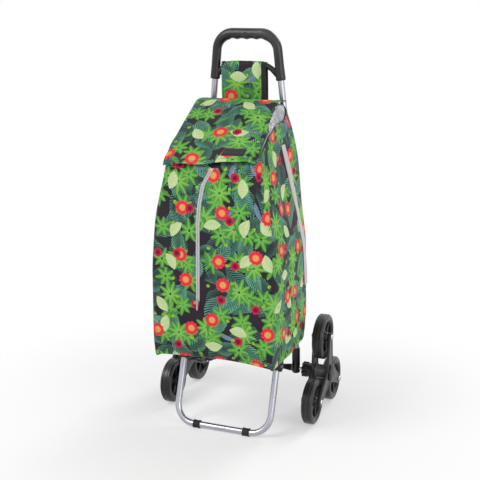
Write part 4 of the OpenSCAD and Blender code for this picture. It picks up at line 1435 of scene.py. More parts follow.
@dataclass
class BagShape:
    """The soft bag's outer surface in millimetres, shared by its panels, tapes, zip and lining."""

    half: float = 159.0
    reach: float = 284.0
    bulge: float = 5.0
    side_bulge: float = 3.5
    floor: float = 206.0
    tall: float = 476.0
    back_off: float = 10.2
    arch: float = 6.0
    tuck: float = 13.0
    tuck_up: float = 30.0
    curl: float = 13.0
    sag: float = 6.0
    back_table: Table = (
        (0, 0.93), (0.1, 0.98), (0.25, 1), (0.55, 1), (0.7, 0.95), (0.85, 0.91), (1, 0.875), (1.14, 0.78), (1.26, 0.64)
    )
    front_table: Table = (
        (0, 0.955), (0.08, 0.975), (0.2, 0.985), (0.45, 0.985), (0.6, 0.955),
        (0.72, 0.92), (0.83, 0.84), (0.92, 0.77), (1, 0.72),
    )
    reach_table: Table = ((0, 10), (0.08, 4), (0.2, 0), (1, 0))
    zip_table: Table = ((0.29, -30), (0.72, -28), (0.82, -23), (0.91, -14), (1, 12))
    tape_table: Table = (
        *((0.31, 0.09), (0.43, 0.115), (0.6, 0.175), (0.72, 0.225)), *((0.85, 0.28), (0.96, 0.325), (1.07, 0.375))
    )
    right_top: Table = (
        (-284, 696), (-267, 708), (-230, 735), (-213, 747), (-150, 766),
        (-132, 765), (-95, 771), (-60, 792), (-50, 801),
    )
    left_top: Table = ((-284, 696), (-267, 703), (-230, 724), (-150, 768), (-107, 792), (-60, 801))
    front_waves: tuple[Wave, ...] = (Wave(3.0, 75, 170), Wave(1.1, 30, 75, 3.0))
    front_low: Wave = Wave(1.5, 60, 20, 6.0)
    front_slant: Wave = Wave(2.0, 38, 150, 8.0)
    crease_deep: float = 3.2
    pinch: Wave = Wave(1.6, 60, 16, 11.0)
    side_wave: Wave = Wave(3.0, 62, 190, 7.0)
    side_slant: Wave = Wave(1.5, 34, 170, 4.0)
    side_fine: Wave = Wave(1.3, 26, 60, 9.0)
    side_low: Wave = Wave(1.4, 70, 22, 5.0)
    side_hollow: float = 5.0
    back_wave: Wave = Wave(1.6, 60, 120, 13.0)

    def share(self, z: float) -> float:
        """How far up the front a height is, from 0 to 1."""
        return (z - self.floor) / self.tall

    def back_half(self, z: float) -> float:
        """Half of the back's width at a height."""
        return self.half * eased(self.share(z), self.back_table, 0.05)

    def front_half(self, z: float) -> float:
        """Half of the front's width at a height."""
        return self.half * eased(self.share(z), self.front_table, 0.05)

    def back_y(self, z: float) -> float:
        """Where the back lies at a height."""
        up = z - AXLE.z / MM
        return AXLE.y / MM - up * tan(LEAN) - self.back_off / cos(LEAN)

    def reach_y(self, z: float) -> float:
        """Where the front's edges lie at a height."""
        return AXLE.y / MM - self.reach + eased(self.share(z), self.reach_table, 0.04)

    def round(self, z: float) -> float:
        """Size of the soft corners at a height."""
        return 6.0 + 17.0 * blend_in(z, self.floor, self.floor + 120)

    def curled(self, z: float) -> float:
        """How far the front's top edge is turned back, from 0 to 1."""
        return max(0.0, min(1.0, (z - 672) / 24)) ** 2

    def zip_x(self, z: float) -> float:
        """Where the zip runs at a height."""
        return eased(self.share(z), self.zip_table, 0.03)

    def top(self, side: float, y: float) -> float:
        """Height of the mouth's edge at a y."""
        table = self.right_top if side > 0 else self.left_top
        return lookup(y - AXLE.y / MM, table)

    def hem(self, x: float, y: float) -> float:
        """Rise of the lower edge, which arches up in the middle of the front."""
        near = blend_in(y, -150.0, self.reach_y(self.floor))
        return self.arch * near * (1 - min(1.0, abs(x) / 140.0) ** 2)

    def front_fold(self, x: float, z: float) -> float:
        """How far the front's folds stand out."""
        low = blend_in(z, 330, 230)
        fold = sum(wave.at(x, z) for wave in self.front_waves) + self.front_low.at(x, z) * low
        fold += self.front_slant.at(x + 0.5 * z, z - x) * blend_in(z, 520, 640)
        t = max(0.0, min(1.0, (689 - z) / 78))
        line = 85 + 7 * min(1.0, t / 0.58) + 7 * max(0.0, (t - 0.58) / 0.42)
        near = exp(-(((x - line) / 4.5) ** 2)) - 0.8 * exp(-(((x - line - 10) / 6) ** 2))
        fold -= self.crease_deep * near * blend_in(z, 600, 625)
        off = abs(x - self.zip_x(z))
        pinch = self.pinch.at(x, z) * exp(-(((off - 13) / 6) ** 2))
        return fold * blend_in(off, 11, 34) + pinch * blend_in(off, 8, 13) * blend_in(z, 250, 290)

    def side_fold(self, side: float, t: float, z: float) -> float:
        """How far a side's folds stand out."""
        y = 270 * t
        fold = self.side_wave.at(y, z, side) + self.side_slant.at(y + 0.45 * z, z - y, side)
        fold += self.side_fine.at(y, z, side) + self.side_low.at(y, z, side) * blend_in(z, 330, 230)
        fold -= self.side_hollow * sin(pi * t) ** 2 * blend_in(z, 430, 640)
        return fold * blend_in(t, 0.0, 0.1) * blend_in(t, 1.0, 0.9)

    def front(self, x: float, z: float, inset: float = 0.0) -> Vector:
        """A point on the front."""
        wide = self.front_half(z)
        puff = self.bulge * (1 - min(1.0, abs(x) / wide) ** 2)
        low = max(0.0, 1 - (z - self.floor - self.hem(x, -205)) / self.tuck_up)
        tuck = self.tuck * low * low * (1 - min(1.0, abs(x) / 150.0) ** 2)
        still = blend_in(abs(x), wide, wide - 12)
        tuck += self.curl * self.curled(z)
        return Vector((x, self.reach_y(z) - puff + tuck - self.front_fold(x, z) * still + inset, z))

    def flank(self, side: float, t: float, z: float, inset: float = 0.0) -> Vector:
        """A point on a side, at a share from back to front."""
        y = (1 - t) * (self.back_y(z) - inset) + t * (self.reach_y(z) + inset)
        y += self.curl * self.curled(z) * blend_in(t, 0.7, 1.0)
        x = (1 - t) * self.back_half(z) + t * self.front_half(z) + self.side_bulge * sin(pi * t)
        return Vector((side * (x + self.side_fold(side, t, z) - inset), y, z))

    def ring(self, side: float, step: int, z: float, inset: float = 0.0) -> Vector:
        """A point of the bag's outline at a height.

        Args:
            side: 1 on the right and -1 on the left.
            step: 0 in the middle of the back to 56 in the middle of the front.
            z: height.
            inset: distance inwards from the outer surface.

        Returns:
            The point.
        """
        soft = max(2.0, self.round(z) - inset)
        half, wide = self.back_half(z) - inset, self.front_half(z) - inset
        depth = self.back_y(z) - self.reach_y(z) - 2 * inset
        share = soft / depth
        if step <= 8:
            x = (half - soft) * step / 8
            dent = (self.back_wave.at(x, z, side) - 0.64) * blend_in(abs(x), half - 4, half - 40)
            return Vector((side * x, self.back_y(z) - inset + min(0.3, dent), z))
        if step >= 38:
            return self.front(side * (wide - soft) * (56 - step) / 18, z, inset)
        if 14 <= step <= 32:
            return self.flank(side, share + (1 - 2 * share) * (step - 14) / 18, z, inset)
        if step < 14:
            y, t = self.back_y(z) - inset, (step - 8) / 6
            a, b = Vector((side * (half - soft), y, z)), Vector((side * half, y, z))
            c = self.flank(side, share, z, inset)
        else:
            a, c, t = self.flank(side, 1 - share, z, inset), self.front(side * (wide - soft), z, inset), (step - 32) / 6
            y = self.reach_y(z) + inset
            b = Vector((side * wide, y + min(0.0, c.y - y) * 0.5, z))
        return a * (1 - t) ** 2 + b * (2 * t * (1 - t)) + c * t * t

    def reach_up(self, side: float, step: int) -> float:
        """Height of the mouth's edge at a step of the outline."""
        return self.top(side, self.ring(side, step, 770.0 if step < 26 else 690.0).y)

    def lowest(self, side: float, step: int) -> float:
        """Height of the lower edge at a step of the outline."""
        low = self.ring(side, step, self.floor)
        hang = self.sag * blend_in(step, 9, 16) * blend_in(step, 40, 31)
        return self.floor + 0.1 + self.hem(low.x, low.y) - hang


@dataclass
class Bag:
    """The cloth bag: one lofted shell, its floor and its silver lining."""

    finishes: Finishes
    shape: BagShape
    rows: int = 46
    half_steps: int = 56
    turn_in: float = 3.6
    wall: float = 2.2
    lining_deep: float = 45.0
    crinkles: tuple[Wave, ...] = (Wave(0.9, 2.3, 9, 17.0), Wave(0.6, 1.1, 5, 19.0))
    gathers: tuple[Wave, ...] = (Wave(6.5, 16, 12, 21.0), Wave(4.0, 7, 6, 23.0))
    back_seam: int = 11
    back_roll: float = 1.7
    seam_marks: tuple[int, int] = (9, 103)
    mouth_rows: tuple[float, float] = (6.0, 11.0)
    hem_up: float = 11.0

    def where(self, mark: int) -> tuple[float, int]:
        """The side and the step of a column of the loft."""
        return (1.0, mark) if mark <= self.half_steps else (-1.0, 2 * self.half_steps - mark)

    def span(self, mark: int) -> tuple[float, float]:
        """Heights of the lower edge and of the mouth's edge at a column."""
        return self.shape.lowest(*self.where(mark)), self.shape.reach_up(*self.where(mark))

    def place(self, mark: int, z: float, low: float, inset: float = 0.0) -> Vector:
        """A point of the shell, with its lower edge rounded inwards."""
        near = max(0.0, 1 - (z - low) / self.turn_in)
        turned_in = self.turn_in * (1 - sqrt(max(0.0, 1 - near * near)))
        return self.shape.ring(*self.where(mark), z, inset + turned_in)

    def loft(self, shape: Callable[[int, int], Vector], rows: int) -> Mesh:
        """Grows the bag's outline, row by row.

        Args:
            shape: gives the point, in millimetres, of a column and a row.
            rows: how many rows of faces.

        Returns:
            The loft, with cloth coordinates cut panel by panel.
        """
        bm = grown(2 * self.half_steps, rows + 1, lambda mark, row: shape(mark, row) * MM, False)
        self.cut_cloth(bm, rows)
        face_out(bm)
        if sum(f.normal.x * f.calc_center_median().x * f.calc_area() for f in bm.faces) < 0:
            bmesh.ops.reverse_faces(bm, faces=bm.faces)
        return bm

    def cut_cloth(self, bm: Mesh, rows: int) -> None:
        """Gives the back and the cloth round the front and sides their coordinates, in metres from the middle."""
        count, half = 2 * self.half_steps, self.half_steps
        column, level = (bm.verts.layers.int[name] for name in ("column", "level"))
        places = {(v[column], v[level]): v.co for v in bm.verts}
        cloth = bm.loops.layers.uv.new(CLOTH_UV)
        runs = {(0, row): 0.0 for row in range(rows + 1)}
        for row in range(rows + 1):
            for way in (1, -1):
                for step in range(1, half + 1):
                    step_by = places[(way * step % count, row)] - places[(way * (step - 1) % count, row)]
                    runs[(way * step, row)] = runs[(way * (step - 1), row)] + way * step_by.length
        for face in bm.faces:
            marks = [loop.vert[column] for loop in face.loops]
            left = max(marks) > half
            if left:
                marks = [m - count if m else 0 for m in marks]
            back = sum(abs(m) for m in marks) / len(marks) < self.back_seam
            centre = 0 if back else half * (-1 if left else 1)
            for loop, mark in zip(face.loops, marks):
                row = loop.vert[level]
                u = runs[(mark, row)] - runs[(centre, row)] + (self.back_roll if back else 0.0)
                loop[cloth].uv = (u, loop.vert.co.z)

    def on_shell(self, mark: int, row: int) -> Vector:
        """A point of the shell's outer surface."""
        low, high = self.span(mark)
        starts = (0.0, 0.4, 1.1, 2.2, self.turn_in)
        rise = starts[row] if row < 5 else self.turn_in + (high - low - self.turn_in) * (row - 4) / self.rows
        return self.place(mark, low + rise, low)

    def shell(self) -> None:
        """Makes the shell: one printed cloth round the front and sides, and the back."""
        bm = self.loft(self.on_shell, self.rows + 4)
        area = area_of(bm)
        column, level = (bm.verts.layers.int[name] for name in ("column", "level"))
        for face in bm.faces:
            if all(4 <= v[column] <= 15 and v[level] >= self.rows + 2 for v in face.verts):
                face.material_index = 2
        f = self.finishes
        panels = ["bag_back", "bag_front", "bag_side_left", "bag_side_right"]
        materials, cloth = [f.print, f.backing, f.webbing], Cloth(self.wall, inner=1, rim=2, levels=1)
        piece = finish_piece("bag_shell", bm, materials, "frame", Slot.PRINT, panels, 60, cloth)

    def bottom(self) -> None:
        """Makes the cloth floor, whose front follows the arched lower edge."""
        shares = (1.0, 0.9, 0.75, 0.55, 0.3, 0.02)
        centre = Vector((0.0, -90.0, 0.0))

        def shape(mark: int, row: int) -> Vector:
            """A point between the lower edge and the floor's middle."""
            low = self.shape.lowest(*self.where(mark))
            point = centre.lerp(self.place(mark, low, low, 0.4), shares[row])
            point.z = self.shape.floor + 0.1 + self.shape.hem(point.x, point.y) if row else low
            return point

        bm = self.loft(shape, len(shares) - 1)
        last = [e for e in bm.edges if e.is_boundary and e.calc_length() < 0.001]
        bmesh.ops.contextual_create(bm, geom=last)
        face_out(bm)
        if sum(f.normal.z for f in bm.faces) < 0:
            bmesh.ops.reverse_faces(bm, faces=bm.faces)
        materials, cloth = [self.finishes.backing], Cloth(self.wall, offset=1.0)
        piece = finish_piece("bag_bottom", bm, materials, "frame", Slot.WEBBING, ["bag_floor"], cloth=cloth)

    def lining(self, roof: Callable[[float], float]) -> None:
        """Makes the silver lining, which shows between the mouth's sides and the flap.

        Args:
            roof: gives the height of the flap's underside at a y, in millimetres.
        """
        inside, beyond = 6, 8

        def shape(mark: int, row: int) -> Vector:
            """A point inside the mouth, then on the gathered cloth above it."""
            side, step = self.where(mark)
            high = self.shape.reach_up(side, step)
            z = high - self.lining_deep + (self.lining_deep - 1.0) * min(row, inside) / inside
            crinkle = sum(abs(wave.at(mark, z)) for wave in self.crinkles)
            point = self.shape.ring(side, step, z, 3.0 + crinkle)
            if row <= inside:
                return point
            t = (row - inside) / beyond
            inner = Vector((max(-92.0, min(92.0, point.x)), max(-186.0, min(16.0, point.y)), 0))
            point.xy = point.xy.lerp(inner.xy, t)
            shows = blend_in(point.y, -118.0, -88.0)
            top = min(roof(point.y) - 3.0, point.z + (roof(point.y) - 3.0 - point.z) * shows)
            bulge = sin(t * pi / 2)
            folds = sum(abs(wave.at(point.x, point.y)) for wave in self.gathers)
            point.z = min(top, point.z + (top - point.z) * bulge) - folds * min(1.0, 3 * t)
            return point

        bm = self.loft(shape, inside + beyond)
        flat, cloth = (0.9, round(area_of(bm) / 0.9, 3)), Cloth(0.8, levels=1)
        nodes = ["mouth_lining"]
        piece = finish_piece("mouth_lining_silver", bm, [self.finishes.lining], "frame", Slot.LINING, nodes, 70, cloth)

    def seams(self) -> None:
        """Sews the seams beside the back corners, along the mouth and above the lower edge."""
        sewn, around = Stitches(), range(8, 105)
        for mark in self.seam_marks:
            low, high = self.span(mark)
            sewn.row([self.lifted(mark, low + 14 + (high - low - 22) * k / 150) for k in range(151)])
        for drop in self.mouth_rows:
            path = [self.lifted(mark, self.span(mark)[1] - drop) for mark in around]
            sewn.row(path[:30])
            sewn.row(path[67:])
        sewn.row([self.lifted(mark, self.span(mark)[0] + self.hem_up) for mark in around])
        finish_piece("bag_stitching", sewn.bm, [self.finishes.thread], "frame", Slot.WEBBING)

    def lifted(self, mark: int, z: float) -> Vector:
        """A point just off the shell, in metres."""
        behind, here, ahead = (
            self.shape.ring(*self.where(m), z) for m in (mark - 1, mark, (mark + 1) % (2 * self.half_steps))
        )
        step = ahead - behind
        return (here + Vector((step.y, -step.x, 0)).normalized() * 0.05) * MM


@dataclass
class Flap:
    """The flap that hangs forward over the mouth, and its blank label place."""

    finishes: Finishes
    half: float = 105.0
    short: float = 16.0
    shorter: float = 6.0
    widen: float = 6.0
    wall: float = 1.9
    droop: float = 5.0
    line: Table = (
        (0, 0), (29, 4), (58, 6), (78, -1.5), (112, -21), (148, -44.6), (190, -74),
        (220, -93.5), (236, -103.5), (246, -114.5), (251.6, -129.3),
    )
    broad: Wave = Wave(1.5, 52, 1, 33.0)
    fine: Wave = Wave(0.7, 20, 1, 35.0)
    lip: Wave = Wave(1.3, 28, 1, 37.0)
    hem: float = 9.0
    label: tuple[float, float, float] = (27.0, 50.0, 26.0)
    label_up: float = 30.0

    def __post_init__(self) -> None:
        """Lays out the flap's outer line, from its hinge to its lip."""
        hinge = joint("flap_lift") / MM
        self.path = curve_through([Vector((0, hinge.y - y, hinge.z + z)) for y, z in self.line], 5)
        self.runs = [0.0]
        for a, b in zip(self.path, self.path[1:]):
            self.runs.append(self.runs[-1] + (b - a).length)
        self.long = self.runs[-1]

    def along(self, run: float) -> Vector:
        """The point on the outer line a run from the hinge."""
        k = next((k for k, end in enumerate(self.runs) if k and run <= end), len(self.runs) - 1)
        t = (run - self.runs[k - 1]) / (self.runs[k] - self.runs[k - 1])
        return self.path[k - 1].lerp(self.path[k], t)

    def underside(self, y: float) -> float:
        """Height of the flap's underside at a y."""
        table = sorted((p.y, p.z) for p in self.path)
        return lookup(y, table) - self.wall - 0.8

    def shape(self, u: float, v: float) -> Vector:
        """A point on the outer surface, in metres; u runs from right to left and v from the hinge to the lip."""
        x = (1 - 2 * u) * self.half
        right = blend_in(x, -40, self.half)
        length = self.long - self.shorter - self.short * right + 1.6 * ripple(x / 40, 0.0, 31.0)
        x *= 1 + self.widen / self.half * blend_in(v, 0.35, 0.8)
        point = self.along(v * length)
        edge = abs(x / self.half)
        loose = blend_in(v, 0.06, 0.3)
        fall = self.droop * edge**6 * loose
        wave = (self.broad.at(x, v * 3.2) + self.fine.at(x, v * 9)) * loose
        wave += self.lip.at(x, v * 1.5) * blend_in(v, 0.72, 1.0)
        point = Vector((x, point.y - 0.35 * min(0.0, wave), point.z + wave - fall))
        return point * MM

    def cloth(self) -> None:
        """Makes the flap's cloth."""
        size = (2 * self.half * MM, self.long * MM)
        bm = laid(44, 60, self.shape, size, (0.31, 0.87))
        area = area_of(bm)
        f = self.finishes
        materials, cloth = [f.print, f.backing, f.webbing], Cloth(self.wall, inner=1, levels=1)
        piece = finish_piece("flap_cloth", bm, materials, "flap", Slot.PRINT, ["bag_flap"], 70, cloth)
        flat, area = (size[0], round(size[1], 3)), round(min(area, size[0] * size[1]), 4)

    def sewing(self) -> None:
        """Sews the flap's hem."""
        sewn = Stitches()
        side, end = self.hem / (2 * self.half), 1 - self.hem / self.long
        for a, b in (((side, 0.04), (side, end)), ((side, end), (1 - side, end)), ((1 - side, end), (1 - side, 0.04))):
            sewn.on(self.shape, line_of(a, b, 90), 0.05 * MM)
        finish_piece("flap_stitching", sewn.bm, [self.finishes.thread], "flap", Slot.WEBBING)

    def label_place(self) -> None:
        """Makes the blank label, sewn on at its edges."""
        x, wide, tall = self.label
        u0, u1 = (1 - (x + wide) / self.half) / 2, (1 - x / self.half) / 2
        length = self.long - self.shorter - self.short * blend_in(x + wide / 2, -40, self.half)
        v = 1 - self.label_up / length

        def patch(u: float, w: float) -> Vector:
            """A point of the label."""
            return raised(self.shape, u0 + (u1 - u0) * u, v + (w - 0.5) * tall / length, 0.15 * MM)

        bm = laid(12, 6, patch, (wide * MM, tall * MM))
        cloth = Cloth(0.8, offset=1.0)
        finish_piece("flap_label_patch", bm, [self.finishes.webbing], "flap", Slot.WEBBING, ["flap_label"], cloth=cloth)
        sewn = Stitches(2.4, 1.7, 0.2)
        corners = [(0.04, 0.1), (0.96, 0.1), (0.96, 0.9), (0.04, 0.9)]
        ends = zip(corners, corners[1:] + corners[:1], (20, 8, 20, 8))
        sewn.on(patch, [point for a, b, steps in ends for point in line_of(a, b, steps)], 0.85 * MM)
        finish_piece("flap_label_stitching", sewn.bm, [self.finishes.thread], "flap", Slot.WEBBING)

    def build(self) -> None:
        """Makes the whole flap."""
        self.cloth()
        self.sewing()
        self.label_place()
        self.corner_tab()

    def corner_tab(self) -> None:
        """Makes the black cloth over the hinge's right corner."""
        lift = 0.12 * MM
        bm = laid(8, 10, lambda u, v: raised(self.shape, 0.003 + 0.1 * u, 0.006 + 0.085 * v, lift))
        cloth = Cloth(0.5, offset=1.0)
        finish_piece("flap_corner_cloth", bm, [self.finishes.backing], "flap", Slot.WEBBING, cloth=cloth)


@dataclass
class Fittings:
    """The zip, the side tapes, the strap over the cross bar and the webbing loops."""

    finishes: Finishes
    shape: BagShape
    grip: Grip
    zip_wide: float = 9.0
    zip_low: float = 0.32
    zip_high: float = 0.99
    tooth_pitch: float = 2.1
    tape_low: float = 0.31
    tape_high: float = 1.07
    tape_share: float = 0.042
    strap_in: float = 7.1
    strap_thick: float = 1.7
    strap_front: float = 124.6
    strap_short: float = 20.0
    strap_left: float = -65.5
    strap_right: float = 38.5
    loop_up: float = 330.0
    loop_tall: float = 25.0

    def on_zip(self, off: float, z: float, lift: float) -> Vector:
        """A point beside the zip's line, in metres."""
        x = self.shape.zip_x(z) + off
        return (self.shape.front(x, z) - Vector((0, lift, 0))) * MM

    def zip(self) -> None:
        """Makes the zip's tape and its two rows of coil."""
        low, high = (self.shape.floor + self.shape.tall * share for share in (self.zip_low, self.zip_high))
        half = self.zip_wide / 2

        def tape(u: float, v: float) -> Vector:
            """A point of the tape."""
            return self.on_zip((2 * u - 1) * half, low + (high - low) * v, 0.32)

        bm = laid(6, 90, tape, (self.zip_wide * MM, (high - low) * MM))
        f = self.finishes
        cloth = Cloth(0.5, offset=1.0)
        finish_piece("zip_tape_woven", bm, [f.zip_tape], "frame", Slot.ZIP_TAPE, ["zip_tape"], cloth=cloth)
        coil = bmesh.new()
        count = int((high - low - 4) / self.tooth_pitch)
        for k in range(2 * count):
            z = low + 2 + self.tooth_pitch * (k + 0.5) / 2
            side = 1 if k % 2 else -1
            here = self.on_zip(side * 0.9, z, 1.05)
            rod(coil, 6, 0.42, 2.5, Matrix.Translation(here) @ quarter("Y"))
        finish_piece("zip_coil", coil, [f.coil], "frame", Slot.ZIP_TAPE)
        sewn = Stitches(3.2, 2.2, 0.2)
        for side in (-1, 1):
            sewn.row([self.on_zip(side * 3.6, low + (high - low) * k / 120, 0.85) for k in range(121)])
        finish_piece("zip_stitching", sewn.bm, [f.pale_thread], "frame", Slot.ZIP_TAPE)

    def slider(self) -> None:
        """Makes the zip's slider and its pull."""
        low, high = (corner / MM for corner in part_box("zip_slider"))
        mid, top = (low + high) / 2, high.y
        bm = bmesh.new()
        for y0, y1 in ((top - 1.1, top - 0.02), (top - 2.5, top - 1.5)):
            part = slab((low.x, y0, low.z), (high.x, y1, high.z), 0.45)
            for vert in part.verts:
                narrow = 1 - 0.28 * blend_in(abs(vert.co.z / MM - mid.z), 2.0, 5.6)
                vert.co.x = mid.x * MM + (vert.co.x - mid.x * MM) * narrow
            absorb(bm, part)
        absorb(bm, slab((mid.x - 1.6, top - 1.8, mid.z + 0.5), (mid.x + 1.6, top - 0.8, high.z - 0.4), 0.2))
        for x in (mid.x - 3.1, mid.x + 3.1):
            absorb(bm, slab((x - 0.85, low.y + 0.02, mid.z - 1.45), (x + 0.85, top - 1.6, mid.z + 1.45), 0.3))
        metal = self.finishes.zip_metal
        stand_in("zip_slider_cast", bm, metal, "zip_slider", Slot.ZIP_METAL)
        hinge = joint("zip_pull_swing")
        end, tab, thin = (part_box("zip_pull")[0].z - hinge.z) / MM + 0.02, 1.8, 0.55
        corners = [(-tab, 0.9, 0.6), (tab, 0.9, 0.6), (tab, end, 1.7), (-tab, end, 1.7)]
        part = plate(corners, 5, 2 * thin, 0.25, 0.7, 0.2)
        bm = bmesh.new()
        absorb(bm, part, shifted(0, thin, 0) @ quarter("X"))
        pin = [(-3.9, 0, 0), (-3.9, 0.62, 0.1), (3.9, 0.62, 0.1), (3.9, 0, 0)]
        absorb(bm, lathed(pin, 16, soft=2), quarter("Y"))
        stand_in("zip_pull_tab", bm, metal, "zip_pull", Slot.ZIP_METAL, Matrix.Translation(hinge))

    def tapes(self) -> None:
        """Makes the pale tape sewn along each side."""
        cloth, sewn = bmesh.new(), Stitches(3.4, 2.4, 0.22)
        cloth.loops.layers.uv.new(CLOTH_UV)

        def on_side(side: float, off: float, s: float, lift: float) -> Vector:
            """A point beside a tape's line."""
            z = self.shape.floor + self.shape.tall * s
            t = eased(s, self.shape.tape_table, 0.04) + off * self.tape_share
            return (self.shape.flank(side, t, z) + Vector((side * lift, 0, 0))) * MM

        span = self.tape_high - self.tape_low
        size = (0.02, span * self.shape.tall * MM)
        for side in (1.0, -1.0):

            def tape(u: float, v: float) -> Vector:
                """A point of the tape."""
                return on_side(side, side * (1 - 2 * u), self.tape_low + span * v, 0.7)

            absorb(cloth, laid(4, 90, tape, size, (side, 0.0)))
            for off in (-0.78, 0.78):
                sewn.row([on_side(side, off, self.tape_low + span * k / 140, 1.5) for k in range(141)])
        f = self.finishes
        wall = Cloth(0.7, offset=1.0)
        finish_piece("side_tapes_woven", cloth, [f.pale_tape], "frame", Slot.PALE_TAPE, ["side_tapes"], cloth=wall)
        finish_piece("side_tape_stitching", sewn.bm, [f.pale_thread], "frame", Slot.PALE_TAPE)

    def over_bar(self, x: float, v: float, back: float, front: float) -> Vector:
        """A point of a band that hangs over the cross bar, from its back end to its front end."""
        radius = self.strap_in + self.strap_thick + 0.1
        arc = pi * radius
        run = v * (back + arc + front)
        sag = min(2.0, self.grip.cross_path[0][1] - lookup(abs(x), self.grip.cross_path))
        if run < back:
            y, up = radius, run - back
        elif run < back + arc:
            a = (run - back) / radius
            y, up = radius * cos(a), radius * sin(a)
        else:
            y, up = -radius, back + arc - run
        wave = 0.5 * ripple(x / 30, run / 50, 41.0) * blend_in(abs(up), 10, 50)
        return on_frame(x * MM, (y + wave) * MM, (self.grip.up + self.grip.cross_path[0][1] + up - sag) * MM)

    def strap(self) -> None:
        """Makes the printed strap and the black tape beside it, both over the cross bar."""
        f = self.finishes
        back, front = self.strap_front - self.strap_short, self.strap_front
        long = (back + front + pi * 9) * MM
        low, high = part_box("strap_tape")
        bands = (
            ("strap_cloth", self.strap_left, self.strap_right, f.print, Slot.PRINT, "hanging_strap"),
            ("strap_tape_woven", self.strap_right + 0.2, high.x / MM - 3.0, f.webbing, Slot.WEBBING, "strap_tape"),
        )
        for name, left, right, finish, slot, node in bands:
            wide = (right - left) * MM

            def band(u: float, v: float) -> Vector:
                """A point of the band."""
                return self.over_bar(right - (right - left) * u, v, back, front)

            bm = laid(max(4, int(wide / 0.005)), 64, band, (wide, long), (3.1, 0.2))
            cloth = Cloth(self.strap_thick, inner=1, rim=2)
            piece = finish_piece(name, bm, [finish, f.backing, f.backing], "frame", slot, [node], 70, cloth)
        sewn = Stitches()
        for x in (self.strap_left + 5, self.strap_right - 5):
            sewn.row([self.over_bar(x, k / 200, back, front) for k in range(4, 197)])
        finish_piece("strap_stitching", sewn.bm, [f.thread], "frame", Slot.WEBBING)

    def loops(self) -> None:
        """Makes the webbing loops that hold the bag to the uprights."""
        tube, out, tall = 8.12, 9.6, self.loop_tall
        profile = [(0, tube, 0), (0, out, 0.5)]
        profile += [(tall * k / 9, out - (0.25 if k % 2 else 0), 0.3) for k in range(1, 9)]
        profile += [(tall, out, 0.5), (tall, tube, 0)]
        bm = bmesh.new()
        for side in Side:
            place = Matrix.Translation((side.value * middle("sleeve_right").x, 0, self.loop_up * MM))
            absorb(bm, lathed(profile, 48, True, 2), FRAME @ place)
        stand_in("upright_loops_webbing", bm, self.finishes.webbing, "frame", Slot.WEBBING)

    def build(self) -> None:
        """Makes every fitting."""
        self.zip()
        self.slider()
        self.tapes()
        self.strap()
        self.loops()


# ---- studio ----


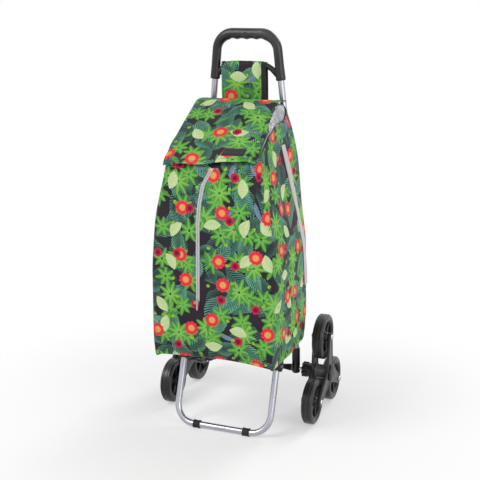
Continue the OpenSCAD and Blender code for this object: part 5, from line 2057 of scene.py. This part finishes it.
@dataclass
class Studio:
    """A plain white studio with soft light, and the camera."""

    eye: tuple[float, float, float] = (0.8362, -2.174, 1.0465)
    tilt: float = 0.2464
    swing: float = 0.3691
    lens: float = 71.67
    backdrop: float = 1.0
    ambient: float = 0.36
    fade: tuple[float, float] = (0.3, 0.9)
    aim: tuple[float, float, float] = (0.0, -0.05, 0.45)

    def lamp(self, name: str, at: Sequence[float], size: float, power: float) -> None:
        """Hangs one soft lamp."""
        data = bpy.data.lights.new(name, "AREA")
        data.shape = "DISK"
        data.size = size
        data.energy = power
        lamp = bpy.data.objects.new(name, data)
        lamp.location = at
        lamp.rotation_euler = (Vector(self.aim) - Vector(at)).to_track_quat("-Z", "Y").to_euler()
        bpy.context.scene.collection.objects.link(lamp)

    def world(self) -> None:
        """White where it is looked at, soft grey as light."""
        world = bpy.context.scene.world = bpy.data.worlds.new("studio")
        n = Nodes(world)
        soft, white = (
            n.node("Background", {"Color": WHITE, "Strength": strength}) for strength in (self.ambient, self.backdrop)
        )
        n.node("OutputWorld", {"Surface": n.either(n.looks(), soft, white)})

    def floor(self) -> None:
        """A pale floor that keeps the shadow near the trolley and fades to white."""
        bm = bmesh.new()
        bmesh.ops.create_grid(bm, x_segments=1, y_segments=1, size=20.0)
        mesh = bpy.data.meshes.new("studio_floor")
        bm.to_mesh(mesh)
        bm.free()
        floor = bpy.data.objects.new("studio_floor", mesh)
        bpy.context.scene.collection.objects.link(floor)
        mesh.materials.append(self.fading())

    def fading(self) -> Material:
        """The floor's material, which fades to pure white with distance from the trolley."""
        g = Graph("studio floor", Roughness=0.9, Specular_IOR_Level=0.1, Base_Color=(0.92, 0.92, 0.92, 1.0))
        white = g.node("Emission", {"Color": WHITE, "Strength": 1.0})
        far = g.node("VectorMath", {0: g.place()}, operation="LENGTH").outputs["Value"]
        fade = g.spread(g.ramp(far, *self.fade), 0.45, 1.0)
        g.plug(g.output.inputs["Surface"], g.either(g.times(fade, g.looks()), g.shader, white))
        return g.material

    def camera(self) -> None:
        """Sets up the camera."""
        data = bpy.data.cameras.new("camera")
        data.sensor_width = 36.0
        data.lens = self.lens
        data.dof.use_dof = False
        camera = bpy.data.objects.new("camera", data)
        camera.location = self.eye
        camera.rotation_euler = (pi / 2 - self.tilt, 0.0, self.swing)
        bpy.context.scene.collection.objects.link(camera)
        bpy.context.scene.camera = camera

    def build(self) -> None:
        """Makes the whole studio."""
        bpy.context.scene.view_settings.view_transform = "Standard"
        self.world()
        self.floor()
        self.lamp("key", (-1.5, -2.0, 2.6), 1.6, 52.0)
        self.lamp("fill", (2.4, -1.4, 1.3), 1.8, 27.0)
        self.lamp("rim", (0.9, 2.2, 2.3), 1.2, 40.0)
        self.camera()


def main() -> None:
    """Builds the trolley's looks and the studio."""
    logging.basicConfig(level=logging.INFO, format="%(name)s %(message)s")
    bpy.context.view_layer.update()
    finishes = Finishes()
    for side in Side:
        Cluster(finishes, side).build()
    FrameTubes(finishes).build()
    Stand(finishes).build()
    grip = Grip(finishes)
    grip.build()
    shape = BagShape()
    bag, flap = Bag(finishes, shape), Flap(finishes)
    bag.shell()
    bag.bottom()
    bag.lining(flap.underside)
    bag.seams()
    flap.build()
    Fittings(finishes, shape, grip).build()
    Studio().build()


if __name__ == "__main__":
    main()
